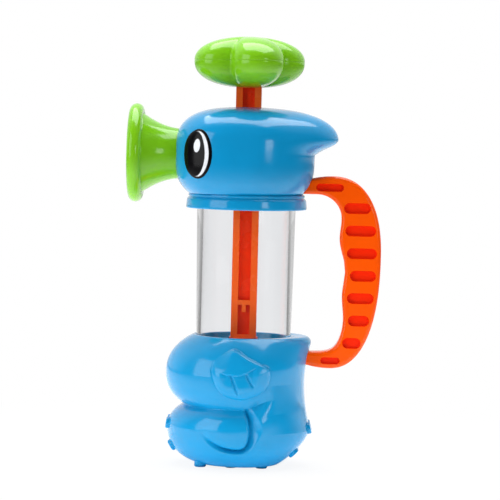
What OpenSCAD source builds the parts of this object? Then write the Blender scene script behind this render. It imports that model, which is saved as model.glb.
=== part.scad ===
// Seahorse pump squirter: a hand lift pump with a clear barrel, a trumpet mouth and a loop handle.
// Sizes are millimetres. +Z runs up the barrel axis, the mouth faces -X, and it stands on z = 0.

/* [Barrel] */
// Bore radius of the clear barrel
barrel_bore_r = 24.1; // [23:0.1:25]
// Wall of the barrel at its lower end
barrel_wall = 2; // [1.6:0.1:2.6]
// Growth of the outer radius from the lower to the upper end
barrel_draft = 1.6; // [0.4:0.1:2]
// Length of barrel that shows between the body and the collar
barrel_show = 70.6; // [62:0.1:80]
// Depth of the barrel in the head
barrel_in_head = 4.5; // [3:0.1:6]
// Thickness of the two end gaskets
gasket_t = 1.5; // [1:0.1:2]

/* [Head] */
// Height of the crown above the neck
head_h = 46.7; // [42:0.1:52]
// Height of the widest level above the neck
head_equator = 21.5; // [20:0.1:23]
// Reach of the head to the front
head_front = 40.3; // [38:0.1:43]
// Reach of the head to the back, without the crest
head_back = 37.6; // [36:0.1:40]
// Half width of the head
head_side = 37.5; // [36:0.1:40]
// Land of the neck around the barrel at the front
neck_front_land = 4.4; // [3.6:0.1:5.4]
// Land of the neck around the barrel at the back
neck_back_land = 3.4; // [3:0.1:5]
// Land of the neck around the barrel at the sides
neck_side_land = 3.8; // [3.2:0.1:5]
// Wall of the head and body shells
shell_wall = 2.4; // [1.8:0.1:3]

/* [Crest] */
// Reach of the crest beyond the back of the head
crest_reach = 13.6; // [8:0.2:18]
// Height of the crown above the crest's tip
crest_drop = 15.7; // [12:0.1:18]
// Height over which the crest's underside runs back into the head
crest_fall = 10.6; // [8:0.2:13]
// Angle at which the crest has faded to a third, from the middle plane
crest_spread = 29; // [20:1:36]

/* [Eyes] */
// Half width of an eye along the head
eye_half_w = 8.4; // [7:0.1:10]
// Half height of an eye
eye_half_h = 13.6; // [10:0.1:15]
// Angle of an eye's middle from the mouth
eye_angle = 50; // [46:1:56]
// Crown height of an eye above the head
eye_proud = 0.6; // [0.3:0.05:1]

/* [Mouth horn] */
// Reach of the horn's lip from the barrel axis
horn_reach = 66.2; // [62:0.1:74]
// Depth of the horn's axis below the head's widest level
horn_drop = 1.4; // [0:0.1:3]
// Outer radius of the rolled lip
horn_lip_r = 27.5; // [24:0.1:30]
// Radius of the lip's rolled edge
lip_round = 3.9; // [3:0.1:4.6]
// Outer radius of the horn where it enters the head
horn_root_r = 15.3; // [13.5:0.1:16]
// Bore radius of the horn's root
horn_bore_r = 10.5; // [8:0.1:11]
// Wall of the flare
horn_wall = 2.6; // [2:0.1:3.2]

/* [Collar] */
// Height of the collar
collar_h = 9.9; // [8:0.1:12]
// Outer radius of the collar at its foot
collar_r = 33.7; // [32.8:0.1:36]
// Depth of the head's spigot in the collar
spigot_depth = 4.4; // [3:0.1:6]
// Wall of the head's spigot
spigot_wall = 1.8; // [1.4:0.1:2.2]

/* [Body] */
// Height of the body's rim above the ground
body_h = 73; // [70:0.5:78]
// Land of the rim around the barrel
rim_land = 1.2; // [1:0.1:3]
// Reach of the belly to the front
belly_front = 43; // [41:0.1:46]
// Half width of the belly
belly_side = 39; // [37.5:0.1:42]
// Height of the belly's widest level
belly_mid = 52; // [50:0.5:55]
// Height of the crease between belly and tail
crease_h = 34; // [32:0.5:36]
// Reach of the crease to the front
crease_front = 32.6; // [32:0.1:37]
// Half width at the crease
crease_side = 34; // [33:0.1:37.5]
// Reach of the tail to the front
tail_front = 41.5; // [39.5:0.1:44]
// Half width of the tail
tail_side = 38.4; // [37.5:0.1:41]
// Height of the tail's widest level
tail_mid = 21; // [19:0.5:23]
// Reach of the body to the back at the tail
tail_back = 38.5; // [36:0.1:40]
// Reach of the body to the back at its waist
waist_back = 34.9; // [33.6:0.1:36]
// Reach of the body to the back at its rim
rim_back = 39.3; // [37:0.1:40.5]
// Height of the side fin above the belly
fin_proud = 2.4; // [1:0.1:3]
// Depth of the groove round the tail's end
tail_groove = 2.4; // [1:0.1:3]

/* [Base] */
// Protrusion of the studs below the base
stud_proud = 1.2; // [0.8:0.1:2]
// Radius of a stud
stud_r = 3.3; // [2.5:0.1:4]
// Distance of each row of feet from the middle plane
stud_row = 15; // [12:0.5:18]
// Distance of the studs on the slopes from the middle plane
slope_row = 6; // [4.5:0.5:8]
// Radius of the strainer in the base
strainer_r = 11; // [9:0.1:12]
// Thickness of the base and of the strainer
base_t = 3; // [2.4:0.1:4]

/* [Handle] */
// Reach of the handle from the barrel axis
handle_reach = 75.8; // [70:0.1:84]
// Depth of the grip from its back to the mean line of its finger side
grip_depth = 21; // [18:0.1:26]
// Depth of the finger waves
grip_wave = 1.35; // [0.5:0.05:2]
// Thickness of the handle across the middle plane
handle_t = 12; // [10:0.2:15]
// Height of the handle's arms where they meet the shells
arm_h = 7.6; // [6:0.1:8]
// Height of the upper arm's middle above the neck
arm_above_neck = 4.1; // [4:0.1:5]
// Depth of the lower arm's middle below the body's rim
arm_below_rim = 12; // [10:0.1:14]
// Depth of the recesses on each face
recess_depth = 2; // [1:0.1:3]
// Height of the recesses
recess_h = 5.6; // [4:0.1:6.5]

/* [Knob] */
// Radius of each of the four lobes
lobe_r = 14.5; // [13.5:0.1:16]
// Distance of each lobe's middle from the axis
lobe_offset = 16.9; // [14:0.1:17.5]
// Height of the knob above its seam
knob_up = 13.6; // [11:0.1:16]
// Depth of the knob below its seam
knob_down = 14.9; // [12:0.1:16]
// Wall of the knob's shells
knob_wall = 2; // [1.6:0.1:2.6]
// Turn of the lobes about the axis
knob_turn = 16.5; // [0:0.5:90]
// Clear height between crown and knob at rest
knob_gap = 10.8; // [8:0.1:14]

/* [Piston] */
// Width of the rod, seen from the side
rod_w = 14.1; // [11:0.1:15]
// Depth of the rod
rod_d = 11; // [9.6:0.1:12]
// Thickness of the rod's two flanges
rod_flange = 3.7; // [2.4:0.1:4.2]
// Depth of the channels in the rod
rod_channel = 3; // [1.5:0.1:3.4]
// Depth of the rod in the knob
rod_in_knob = 8.5; // [7:0.1:9.5]
// Depth of the piston's top below the body's rim at rest
piston_depth = 7; // [6:0.1:9]
// Thickness of the piston
piston_t = 8; // [7:0.1:9]
// Height of the piston's ring seal
seal_h = 3.8; // [3:0.1:4.5]
// Radial depth of the piston's ring seal
seal_depth = 2.8; // [2:0.1:3.4]

/* [Valves] */
// Height of the foot valve's seat above the ground
seat_z = 32; // [30:0.1:33]
// Thickness of the foot valve's seat
seat_t = 4; // [3:0.1:4.5]
// Thickness of the valve flaps
flap_t = 1.5; // [1:0.1:2]
// Lift of the valve flaps
flap_lift = 2.4; // [1.5:0.1:2.6]
// Radius of the valve ports
port_r = 2.9; // [2:0.1:3.3]
// Distance of the valve ports from the axis
port_pitch_r = 12.5; // [11:0.1:14]
// Number of valve ports
ports = 6; // [4:1:7]

/* [Screws] */
// Radius of the screw shanks
screw_r = 1.4; // [1.1:0.05:1.6]
// Radius of the screw heads
screw_head_r = 2.7; // [2.3:0.05:3]
// Height of the screw heads
screw_head_h = 2; // [1.5:0.1:2.4]
// Depth of the shell screws' heads from the middle plane
screw_seat = 9; // [7:0.1:11]
// Length of the shell screws' shanks
screw_len = 16; // [13:0.5:18]

/* [Clearances] */
// Radial clearance between fixed pieces
fit = 0.15; // [0.1:0.01:0.25]
// Radial clearance of the ring seal in the bore
seal_fit = 0.06; // [0.02:0.01:0.1]
// Clearance between pieces that move loosely
loose = 0.3; // [0.2:0.05:0.4]
// Gap under a closed flap and between screw threads
hair = 0.05; // [0.02:0.01:0.08]

/* [Hidden] */
$fn = 96;

// Colours
blue = [0.13, 0.58, 0.85];
green = [0.50, 0.80, 0.20];
orange = [1.00, 0.38, 0.10];
red = [0.88, 0.22, 0.10];
clear = [0.85, 0.90, 0.93, 0.35];
rubber = [0.20, 0.20, 0.22];
steel = [0.70, 0.70, 0.72];
white = [0.92, 0.92, 0.90];
black = [0.04, 0.04, 0.05];

// Heights along the barrel axis
seat_top = seat_z + seat_t;
barrel_z0 = seat_top + gasket_t;
collar_z0 = body_h + barrel_show;
neck_z = collar_z0 + collar_h;
barrel_z1 = neck_z + barrel_in_head;
ledge_z = barrel_z1 + gasket_t;
equator_z = neck_z + head_equator;
crown_z = neck_z + head_h;
horn_z = equator_z - horn_drop;
crest_z = crown_z - crest_drop;
knob_z0 = crown_z + knob_gap;
seam_z = knob_z0 + knob_down;
knob_top_z = seam_z + knob_up;
base_z = stud_proud;

// Radii of the barrel and of what fits round it
barrel_r0 = barrel_bore_r + barrel_wall;
function barrel_r(z) = barrel_r0 + barrel_draft * (z - barrel_z0) / (barrel_z1 - barrel_z0);
neck_bore = barrel_r(barrel_z1) + fit;
spigot_r = neck_bore + spigot_wall;
rim_bore = barrel_r(body_h) + fit;
rim_r = rim_bore + rim_land;
seat_lip = 2.4;
seat_r = barrel_r0 + seat_lip;
ledge_t = 3;
ledge_lip = 1.5;
ledge_bore = barrel_bore_r - ledge_lip;

// Piston stack at rest
piston_top = body_h - piston_depth;
piston_z0 = piston_top - piston_t;
stop_z = piston_top + hair + flap_t + flap_lift + hair;
stop_t = 2.2;
stop_r = 8;
rod_z0 = stop_z + stop_t;
rod_top = knob_z0 + rod_in_knob;
stem_r = 4.6;
spigot_pin_r = 4;
flap_r = port_pitch_r + port_r + 2;
cross_bar_up = 18;
cross_bar_z = rod_z0 + cross_bar_up;
cross_bar_h = 2.6;
tooth_h = 4;

// Screw places on the shells, as x and z from the named levels
head_screw_x = 16;
back_screw_up = 3;
front_screw_up = 9;
head_screw_places = [[head_screw_x, equator_z + back_screw_up], [-head_screw_x, equator_z + front_screw_up]];
tail_screw_front = 21;
tail_screw_back = 19;
tail_screw_drop = 4;
belly_screw_out = 6.4;
belly_screw_up = 3;
body_screw_places = [
  [-tail_screw_front, tail_mid - tail_screw_drop],
  [tail_screw_back, tail_mid - tail_screw_drop],
  [-(rim_bore + belly_screw_out), belly_mid + belly_screw_up]
];
boss_r = screw_head_r + 1.6;
rod_screw_grip = 9;

// Horn, as distances from the barrel axis towards the mouth
horn_back = head_front - 10;
horn_flange_r = horn_root_r + 2;
horn_flange_t = 2;
flare_start = head_front + 1.6;
flare_end = horn_reach - 2 * lip_round;
lip_centre_r = horn_lip_r - lip_round;

// Handle loop, between the two arms
arm_top_z = neck_z + arm_above_neck;
arm_low_z = body_h - arm_below_rim;
loop_z = (arm_top_z + arm_low_z) / 2;
loop_half = (arm_top_z - arm_low_z) / 2;
loop_x = 36;
bow_x = 48;
handle_edge = 1.2;
top_crown = 1.5;
low_crown = 1.6;
inner_drop = 1.1;
grip_z = loop_z + 9.2;
grip_lean = 2;
wave_pitch = 33.3;
wave_z = loop_z + 0.53 * wave_pitch;
wave_rise = 60;
lug_w = 6;
lug_head_w = 10;
lug_t = 1.8;

// Grid counts of the lofted shells; the inner count divides the outer one
shell_columns = 40;
inner_columns = 10;

// Smooth step from 0 to 1
function ease(s) = let (c = max(0, min(1, s))) c * c * (3 - 2 * c);

// Radius of a squared quarter arc that runs from a wide radius to an end radius as s goes from 0 to 1
function quarter(wide, end, s, power) =
  let (k = pow(1 - pow(end / wide, power), 1 / power))
    wide * pow(max(0, 1 - pow(s * k, power)), 1 / power);

// Radius of an oval with its own reach to the front, back and side, and a front that may be squarer
function oval(angle, front, back, side, front_power = 2) =
  let (fore = cos(angle) < 0, along = fore ? front : back, power = fore ? front_power : 2)
    pow(pow(abs(cos(angle)) / along, power) + pow(abs(sin(angle)) / side, power), -1 / power);

function polar(r, angle, z) = [r * cos(angle), r * sin(angle), z];

// Head surface: levels run from the crown (u = 1) over the equator (u = 0) to the neck (u = -1)
head_power = 2.9;
head_plan = 2.7;
neck_power = 3.6;
function head_level(u) =
  u >= 0 ? equator_z + (crown_z - equator_z) * pow(sin(90 * u), 2 / head_power)
         : equator_z + (equator_z - neck_z) * u;
function head_taper(wide, land, u) =
  u >= 0 ? wide * pow(cos(90 * u), 2 / head_power)
         : wide - (wide - neck_bore - land) * pow(-u, neck_power);
function crest_at(z) =
  z >= crest_z ? crest_reach * sqrt(max(0, 1 - pow((z - crest_z) / crest_drop, 2)))
               : crest_reach * (1 + cos(180 * pow(min(1, (crest_z - z) / crest_fall), 1.3))) / 2;
function turn_from_back(angle) = min(abs(angle), abs(angle - 360));
function crest_share(angle) = exp(-pow(turn_from_back(angle) / crest_spread, 2));
function head_r(angle, u) =
  oval(angle, head_taper(head_front, neck_front_land, u), head_taper(head_back, neck_back_land, u),
       head_taper(head_side, neck_side_land, u), head_plan)
  + crest_at(head_level(u)) * crest_share(angle);
head_us = concat([for (j = [0 : 13]) 0.985 * cos(90 * j / 14)], [for (j = [0 : 8]) -sin(90 * j / 8)]);

// Body surface
shoulder_power = 2.15;
back_foot_power = 1.5;
function body_profile(z, belly, crease, tail, foot) =
  z >= belly_mid ? quarter(belly, rim_r, (z - belly_mid) / (body_h - belly_mid), shoulder_power)
  : z >= crease_h ? quarter(belly, crease, (belly_mid - z) / (belly_mid - crease_h), 2.4)
  : z >= tail_mid ? quarter(tail, crease, (z - tail_mid) / (crease_h - tail_mid), 2.2)
  : quarter(tail, foot, (tail_mid - z) / (tail_mid - base_z), 2.5);
rim_corner = 5;
waist_z = (body_h + tail_mid) / 2;
function back_profile(z) =
  z < tail_mid ? quarter(tail_back, foot_back, (tail_mid - z) / (tail_mid - base_z), back_foot_power)
  : z < waist_z ? waist_back + (tail_back - waist_back) * pow((waist_z - z) / (waist_z - tail_mid), 2)
  : waist_back + (rim_back - waist_back) * pow((z - waist_z) / (body_h - waist_z), 2)
    - rim_corner * (1 - sqrt(1 - pow(max(0, z - body_h + rim_corner) / rim_corner, 2)));
foot_front = 25;
foot_side = 24;
foot_back = 21.5;

function front_profile(z) = body_profile(z, belly_front, crease_front, tail_front, foot_front);
function side_profile(z) = body_profile(z, belly_side, crease_side, tail_side, foot_side);

// Half width at a place along the side, where the crease fades out towards the back
crease_fade_x = 9;
crease_fade = 12;
crease_flush = 1.1;
function side_at(x, z) =
  let (side = side_profile(z), flush = max(side, belly_side - crease_flush),
       share = z > tail_mid && z < belly_mid ? ease((x - crease_fade_x) / crease_fade) : 0)
    side + (flush - side) * share;
function body_r(angle, z) =
  oval(angle, front_profile(z), back_profile(z), side_at(belly_side * cos(angle), z));
body_zs = concat([for (j = [0 : 7]) belly_mid + (body_h - belly_mid) * cos(90 * j / 8)],
                 [for (j = [0 : 6]) belly_mid - (belly_mid - crease_h) * j / 7],
                 [for (j = [0 : 4]) crease_h - (crease_h - tail_mid) * j / 5],
                 [for (j = [0 : 8]) tail_mid - (tail_mid - base_z) * sin(90 * j / 8)]);

// Triangles of a grid of columns, each with the same count of rows from the top down, seen from outside
function patch(first, columns, rows, flip) =
  [for (i = [0 : columns - 1], j = [0 : rows - 2])
     let (a = first + i * rows + j, b = a + 1, c = a + rows, d = c + 1)
       each flip ? [[a, b, c], [b, d, c]] : [[a, c, b], [b, c, d]]];

// Triangles between a fine outer edge and a coarse inner edge of a half shell
function rim_strip(row, rows, inner_first, flip) =
  let (ratio = shell_columns / inner_columns, half = floor(ratio / 2))
    [for (k = [0 : inner_columns - 1])
       let (n0 = inner_first + k * rows + row, n1 = n0 + rows, o = k * ratio * rows + row)
         each concat(
           [for (q = [0 : ratio - 1])
              let (n = q < half ? n0 : n1, p = o + q * rows)
                flip ? [n, p, p + rows] : [n, p + rows, p]],
           [flip ? [n0, o + half * rows, n1] : [n0, n1, o + half * rows]])];

// Triangles of the flat wall section where a half shell meets the middle plane
function wall_section(outer, inner, rows, flip) =
  [for (j = [0 : rows - 2])
     let (a = outer + j, b = a + 1, c = inner + j, d = c + 1)
       each flip ? [[a, c, b], [c, d, b]] : [[a, b, c], [c, b, d]]];

// Left half of a shell from its outer and inner columns, from the front round to the back
module half_shell(outer, inner) {
  rows = len(outer[0]);
  inner_first = len(outer) * rows;
  points = concat([for (column = outer) each column], [for (column = inner) each column]);
  faces = concat(
    patch(0, shell_columns, rows, false),
    patch(inner_first, inner_columns, rows, true),
    rim_strip(0, rows, inner_first, false),
    rim_strip(rows - 1, rows, inner_first, true),
    wall_section(0, inner_first, rows, false),
    wall_section(shell_columns * rows, inner_first + inner_columns * rows, rows, true));
  polyhedron(points, faces, convexity = 8);
}

function shell_angles(count) = [for (i = [0 : count]) 180 + 180 * i / count];

// A cylinder along X from one distance to another
module rod_x(r, from, to, z) {
  translate([from, 0, z]) rotate([0, 90, 0]) cylinder(r = r, h = to - from);
}

// A cylinder along Y from one distance to another
module rod_y(r, x, z, from, to) {
  translate([x, from, z]) rotate([-90, 0, 0]) cylinder(r = r, h = to - from);
}

// A ring about the barrel axis
module ring(outer, inner, z, h) {
  difference() {
    translate([0, 0, z]) cylinder(r = outer, h = h);
    translate([0, 0, z - 1]) cylinder(r = inner, h = h + 2);
  }
}

// A block centred on Y, from one distance to another along X, about a height
module tab(from, to, w, z, h) {
  translate([from, -w / 2, z - h / 2]) cube([to - from, w, h]);
}

// The valve ports as cutters
module port_cutters(z, h) {
  for (i = [0 : ports - 1])
    rotate([0, 0, 360 * i / ports]) translate([port_pitch_r, 0, z]) cylinder(r = port_r, h = h);
}

// Room for a handle's arm and its hooked lug in a shell, or the arm's end itself when grown by nothing
module arm_end(z, surface, grow) {
  sunk = surface - 1.6;
  tab(sunk - grow, loop_x + 1, handle_t + 2 * grow, z, arm_h + 2 * grow);
  tab(sunk - lug_t - hair, sunk + hair, lug_w + 2 * grow, z, arm_h - 1.2 + 2 * grow);
  tab(sunk - 2 * lug_t - grow, sunk - lug_t, lug_head_w + 2 * grow, z, arm_h - 1.2 + 2 * grow);
}
head_arm_x = head_r(360, (arm_top_z - equator_z) / head_equator);
body_arm_x = back_profile(arm_low_z);

// Half width of a shell along Y at a place, from its surface function
function head_u(z) =
  z < equator_z ? (z - equator_z) / head_equator
                : asin(pow((z - equator_z) / (crown_z - equator_z), head_power / 2)) / 90;
function head_y(x, z) =
  let (u = head_u(z), reach = head_taper(x < 0 ? head_front : head_back, 0, u), power = x < 0 ? head_plan : 2)
    head_taper(head_side, 0, u) * pow(1 - pow(abs(x) / reach, power), 1 / power);
function body_y(x, z) =
  let (reach = x < 0 ? front_profile(z) : back_profile(z))
    side_at(x, z) * sqrt(1 - pow(x / reach, 2));

// Length of a screw boss, so that its end stays inside the shell's wall all round
boss_edge = [-boss_r, boss_r];
function head_boss(x, z) = min([for (i = boss_edge, j = boss_edge) head_y(x + i, z + j)]) - shell_wall / 3;
function body_boss(x, z) = min([for (i = boss_edge, j = boss_edge) body_y(x + i, z + j)]) - shell_wall / 3;

// Screw boss of the left half: a blind post with a pilot hole
module left_boss(x, z, reach) {
  difference() {
    rod_y(boss_r, x, z, -reach, 0);
    rod_y(screw_r + hair, x, z, screw_seat - screw_len - 1, 1);
  }
}

// Cutters of a right half's screw hole: shank hole and counterbore
module right_hole(x, z) {
  rod_y(screw_r + fit, x, z, -1, screw_seat + 1);
  rod_y(screw_head_r + fit, x, z, screw_seat, screw_seat + max(head_side, belly_side));
}

// A screw along +Z with a cross slot in its head, the head's bearing face at z = 0
slot_w = 0.8;
slot_depth = 0.9;
module screw(shank) {
  difference() {
    union() {
      translate([0, 0, -shank]) cylinder(r = screw_r, h = shank + hair);
      cylinder(r = screw_head_r, h = screw_head_h);
    }
    for (turn = [0, 90])
      rotate([0, 0, turn]) translate([-screw_head_r, -slot_w / 2, screw_head_h - slot_depth])
        cube([2 * screw_head_r, slot_w, 2 * slot_depth]);
  }
}

// A shell screw with its head towards the right side
module shell_screw(x, z) {
  translate([x, screw_seat, z]) rotate([-90, 0, 0]) screw(screw_len);
}

// A thin lens from two matching discs of points, each a middle and then rings of points
module lens(top, bottom, rings, sides) {
  function fan(first, flip) =
    concat(
      [for (i = [0 : sides - 1])
         let (a = first + 1 + i, b = first + 1 + (i + 1) % sides)
           flip ? [first, b, a] : [first, a, b]],
      [for (k = [0 : rings - 2], i = [0 : sides - 1])
         let (a = first + 1 + k * sides + i, b = first + 1 + k * sides + (i + 1) % sides)
           each flip ? [[a, b, a + sides], [b, b + sides, a + sides]]
                     : [[a, a + sides, b], [b, a + sides, b + sides]]]);
  count = 1 + rings * sides;
  last = 1 + (rings - 1) * sides;
  edge = [for (i = [0 : sides - 1])
            let (a = last + i, b = last + (i + 1) % sides)
              each [[a, b, a + count], [b, b + count, a + count]]];
  polyhedron(concat(top, bottom), concat(fan(0, true), fan(count, false), edge));
}

// Left half of the head's shell, with the sockets that both halves share
module head_loft() {
  inner_top = crown_z - equator_z - shell_wall;
  outer = [for (a = shell_angles(shell_columns)) [for (u = head_us) polar(head_r(a, u), a, head_level(u))]];
  inner = [for (a = shell_angles(inner_columns))
             [for (u = head_us)
                let (z = head_level(u))
                  u > 0 ? polar(max(3, head_r(a, u) - shell_wall), a,
                                equator_z + inner_top * (z - equator_z) / (crown_z - equator_z))
                  : z > ledge_z + ledge_t ? polar(head_r(a, u) - shell_wall, a, z)
                  : polar(ledge_bore - 1, a, z)]];
  half_shell(outer, inner);
}

module head_sockets() {
  translate([0, 0, neck_z - 1]) cylinder(r = neck_bore, h = ledge_z - neck_z + 1);
  translate([0, 0, neck_z]) cylinder(r = ledge_bore, h = head_h - shell_wall - 6);
  translate([0, 0, equator_z]) cylinder(r = guide_r + fit, h = head_h);
  rod_x(horn_root_r + fit, -head_front - 3, -horn_back, horn_z);
  rod_x(horn_flange_r + fit, -horn_back - horn_flange_t - fit, -horn_back + fit, horn_z);
  arm_end(arm_top_z, head_arm_x, fit);
}

module head_spigot() {
  rotate([0, 0, 180]) rotate_extrude(angle = 180)
    translate([neck_bore, neck_z - spigot_depth]) square([spigot_wall, spigot_depth + 1]);
}

module head_left_shell() {
  color(blue) difference() {
    union() {
      head_loft();
      head_spigot();
      for (p = head_screw_places) left_boss(p[0], p[1], head_boss(p[0], p[1]));
    }
    head_sockets();
  }
}

module head_right_shell() {
  color(blue) difference() {
    union() {
      mirror([0, 1, 0]) head_loft();
      mirror([0, 1, 0]) head_spigot();
      for (p = head_screw_places) rod_y(boss_r, p[0], p[1], 0, head_boss(p[0], p[1]));
    }
    head_sockets();
    for (p = head_screw_places) right_hole(p[0], p[1]);
  }
}

module head_screws() {
  color(steel) for (p = head_screw_places) shell_screw(p[0], p[1]);
}

// Bush in the crown that guides the rod
guide_wall = 1.4;
guide_r = norm([rod_w, rod_d]) / 2 + loose + guide_wall;
guide_flange_t = 3;
module rod_guide() {
  sunk = 0.5;
  flange_z = crown_z - shell_wall - 1 - guide_flange_t;
  color(blue) difference() {
    union() {
      translate([0, 0, flange_z]) cylinder(r = guide_r, h = crown_z - sunk - flange_z);
      translate([0, 0, flange_z]) cylinder(r = guide_r + guide_flange_t, h = guide_flange_t);
    }
    translate([-rod_w / 2 - loose, -rod_d / 2 - loose, flange_z - 1])
      cube([rod_w + 2 * loose, rod_d + 2 * loose, crown_z - flange_z + 2]);
  }
}

// A thin oval disc that follows the head's side
module eye() {
  rings = [0.35, 0.65, 0.88, 1];
  sides = 28;
  rim = 0.25;
  middle_z = equator_z - 1;
  spread = eye_half_w / head_side * 180 / PI;
  function spot(share, turn, lift) =
    let (a = 180 + eye_angle + spread * share * cos(turn), z = middle_z + eye_half_h * share * sin(turn))
      polar(head_r(a, head_u(z)) + lift, a, z);
  function crowned(s, lift, edge) = edge + (lift - edge) * (1 - pow(s, 4));
  function disc(lift, edge) =
    concat([spot(0, 0, lift)],
           [for (s = rings, i = [0 : sides - 1]) spot(s, 360 * i / sides, crowned(s, lift, edge))]);
  lens(disc(eye_proud, rim), disc(hair, hair), len(rings), sides);
}

module left_eye() {
  color(black) eye();
}

module right_eye() {
  color(black) mirror([0, 1, 0]) eye();
}

// Trumpet mouth: a straight root in the head, a flare and a rolled lip
module mouth_horn() {
  flare_r = lip_centre_r + lip_round * 0.35;
  function flare(d) =
    let (s = max(0, (d - flare_start) / (flare_end - flare_start)))
      horn_root_r + (flare_r - horn_root_r) * (0.75 * s + 0.25 * pow(s, 6));
  steps = 10;
  bell_start = flare_start + 4;
  outside = [for (i = [0 : steps])
               let (d = flare_start + (flare_end - flare_start) * i / steps) [flare(d), d]];
  inside = [for (i = [0 : steps])
              let (d = flare_end - (flare_end - bell_start) * i / steps) [flare(d) - horn_wall, d]];
  outline = concat(
    [[horn_bore_r, horn_back], [horn_flange_r, horn_back], [horn_flange_r, horn_back + horn_flange_t],
     [horn_root_r, horn_back + horn_flange_t]],
    outside, [[lip_centre_r, horn_reach - lip_round]], inside, [[horn_bore_r, flare_start - 1]]);
  color(green) translate([0, 0, horn_z]) rotate([0, -90, 0]) {
    rotate_extrude() polygon(outline);
    translate([0, 0, horn_reach - lip_round]) rotate_extrude() translate([lip_centre_r, 0]) circle(lip_round);
  }
}

// Hoop that grips the two neck halves on the barrel
module collar_ring() {
  top_r = neck_bore + neck_side_land;
  step_z = neck_z - spigot_depth - fit;
  color(blue) rotate_extrude() polygon([
    [barrel_r(neck_z) + loose, collar_z0], [collar_r - 0.8, collar_z0], [collar_r, collar_z0 + 0.8],
    [collar_r - 0.2, collar_z0 + collar_h * 0.55], [top_r + 0.5, neck_z - 0.6], [top_r, neck_z],
    [spigot_r + fit, neck_z], [spigot_r + fit, step_z], [barrel_r(neck_z) + loose, step_z]]);
}

module upper_gasket() {
  color(rubber) ring(barrel_r(barrel_z1) - fit, barrel_bore_r, barrel_z1, gasket_t);
}

module lower_gasket() {
  color(rubber) ring(barrel_r0, barrel_bore_r, seat_top, gasket_t);
}

// Clear barrel with a straight bore and a drafted outside
module barrel() {
  color(clear) difference() {
    translate([0, 0, barrel_z0])
      cylinder(r1 = barrel_r0, r2 = barrel_r(barrel_z1), h = barrel_z1 - barrel_z0);
    translate([0, 0, barrel_z0 - 1]) cylinder(r = barrel_bore_r, h = barrel_z1 - barrel_z0 + 2);
  }
}

// Left half of the body's shell with the shelf that carries the pump's foot
shelf_top = barrel_z0 + 4;
shelf_low = seat_z - 4;
lip_low = body_h - 5;
floor_share = 0.62;
module body_loft() {
  inset = 1.2;
  outer = [for (a = shell_angles(shell_columns))
             concat([for (z = body_zs) polar(body_r(a, z), a, z)], [polar(strainer_r - inset, a, base_z)])];
  inner = [for (a = shell_angles(inner_columns))
             concat(
               [for (z = body_zs)
                  let (wall_r = body_r(a, max(z, tail_mid)) - shell_wall,
                       low = (tail_mid - z) / (tail_mid - base_z))
                    z > lip_low ? polar(rim_bore - inset, a, z)
                    : z > shelf_top ? polar(wall_r, a, z)
                    : z > shelf_low ? polar(ledge_bore - inset, a, z)
                    : z > tail_mid ? polar(wall_r, a, z)
                    : polar(wall_r * quarter(1, floor_share, low, 2.5), a,
                            tail_mid - low * (tail_mid - base_z - base_t))],
               [polar(strainer_r - inset, a, base_z + base_t)])];
  half_shell(outer, inner);
}

// Side fin: a raised pad with a polar outline about its middle, as [angle, radius] pairs
fin_x = 0.2;
fin_z = belly_mid + 2.5;
fin_outline = [[-29, 15.6], [8, 17.8], [62, 11.2], [105, 14.3], [160, 16.3], [192, 15.2], [233, 14.3],
               [281, 13.3], [331, 15.6], [368, 17.8]];
function fin_edge(a, i = 0) =
  let (p = fin_outline[i], q = fin_outline[i + 1])
    a <= q[0] ? p[1] + (q[1] - p[1]) * ease((a - p[0]) / (q[0] - p[0])) : fin_edge(a, i + 1);
module fin() {
  rings = [[0.4, 1], [0.75, 1], [0.92, 0.75], [1, -0.3]];
  sides = 36;
  root = -shell_wall / 2;
  function spot(share, turn, lift) =
    let (r = share * fin_edge(turn), x = fin_x + r * cos(turn), z = fin_z + r * sin(turn))
      [x, -body_y(x, z) - lift, z];
  top = [for (ring = rings, i = [0 : sides - 1]) spot(ring[0], 360 * i / sides, ring[1] * fin_proud)];
  bottom = [for (ring = rings, i = [0 : sides - 1]) spot(ring[0], 360 * i / sides, root)];
  lens(concat([spot(0, 0, fin_proud)], top), concat([spot(0, 0, root)], bottom), len(rings), sides);
}

// Cutter of the groove round the curled tail's end: a tube along an oval on the side, thin at both ends
curl_x = -5.3;
curl_half_w = 15;
curl_z = (crease_h + base_z) / 2 + 6.5;
curl_half_h = (crease_h - base_z) / 2 - 3.5;
curl_from = -150;
curl_to = 50;
module curl_cutter() {
  steps = 20;
  sides = 8;
  function place(turn, out, across) =
    let (x = curl_x + (curl_half_w + across) * cos(turn), z = curl_z + (curl_half_h + across) * sin(turn))
      [x, -body_y(x, z) - out, z];
  points = [for (i = [0 : steps], j = [0 : sides - 1])
              let (r = tail_groove * (0.25 + 0.75 * sqrt(sin(180 * (i + 0.1) / (steps + 0.2)))))
                place(curl_from + (curl_to - curl_from) * i / steps,
                      r * sin(360 * j / sides) + tail_groove / 4, r * cos(360 * j / sides))];
  skin = [for (i = [0 : steps - 1], j = [0 : sides - 1])
            let (a = i * sides + j, b = i * sides + (j + 1) % sides)
              each [[a, b, a + sides], [b, b + sides, a + sides]]];
  last = steps * sides;
  caps = [for (j = [1 : sides - 2]) each [[0, j + 1, j], [last, last + j, last + j + 1]]];
  polyhedron(points, concat(skin, caps), convexity = 4);
}

module body_sockets() {
  low_bore = barrel_r(shelf_top) + fit;
  translate([0, 0, seat_top - hair]) cylinder(r = low_bore, h = body_h);
  translate([0, 0, shelf_top]) cylinder(r = rim_bore, h = body_h);
  translate([0, 0, seat_z - hair]) cylinder(r = seat_r + fit, h = seat_t + 2 * hair);
  translate([0, 0, shelf_low - 2]) cylinder(r = ledge_bore, h = 10);
  translate([0, 0, base_z - 1]) cylinder(r = strainer_r + fit, h = base_t + 2);
  arm_end(arm_low_z, body_arm_x, fit);
}

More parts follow.
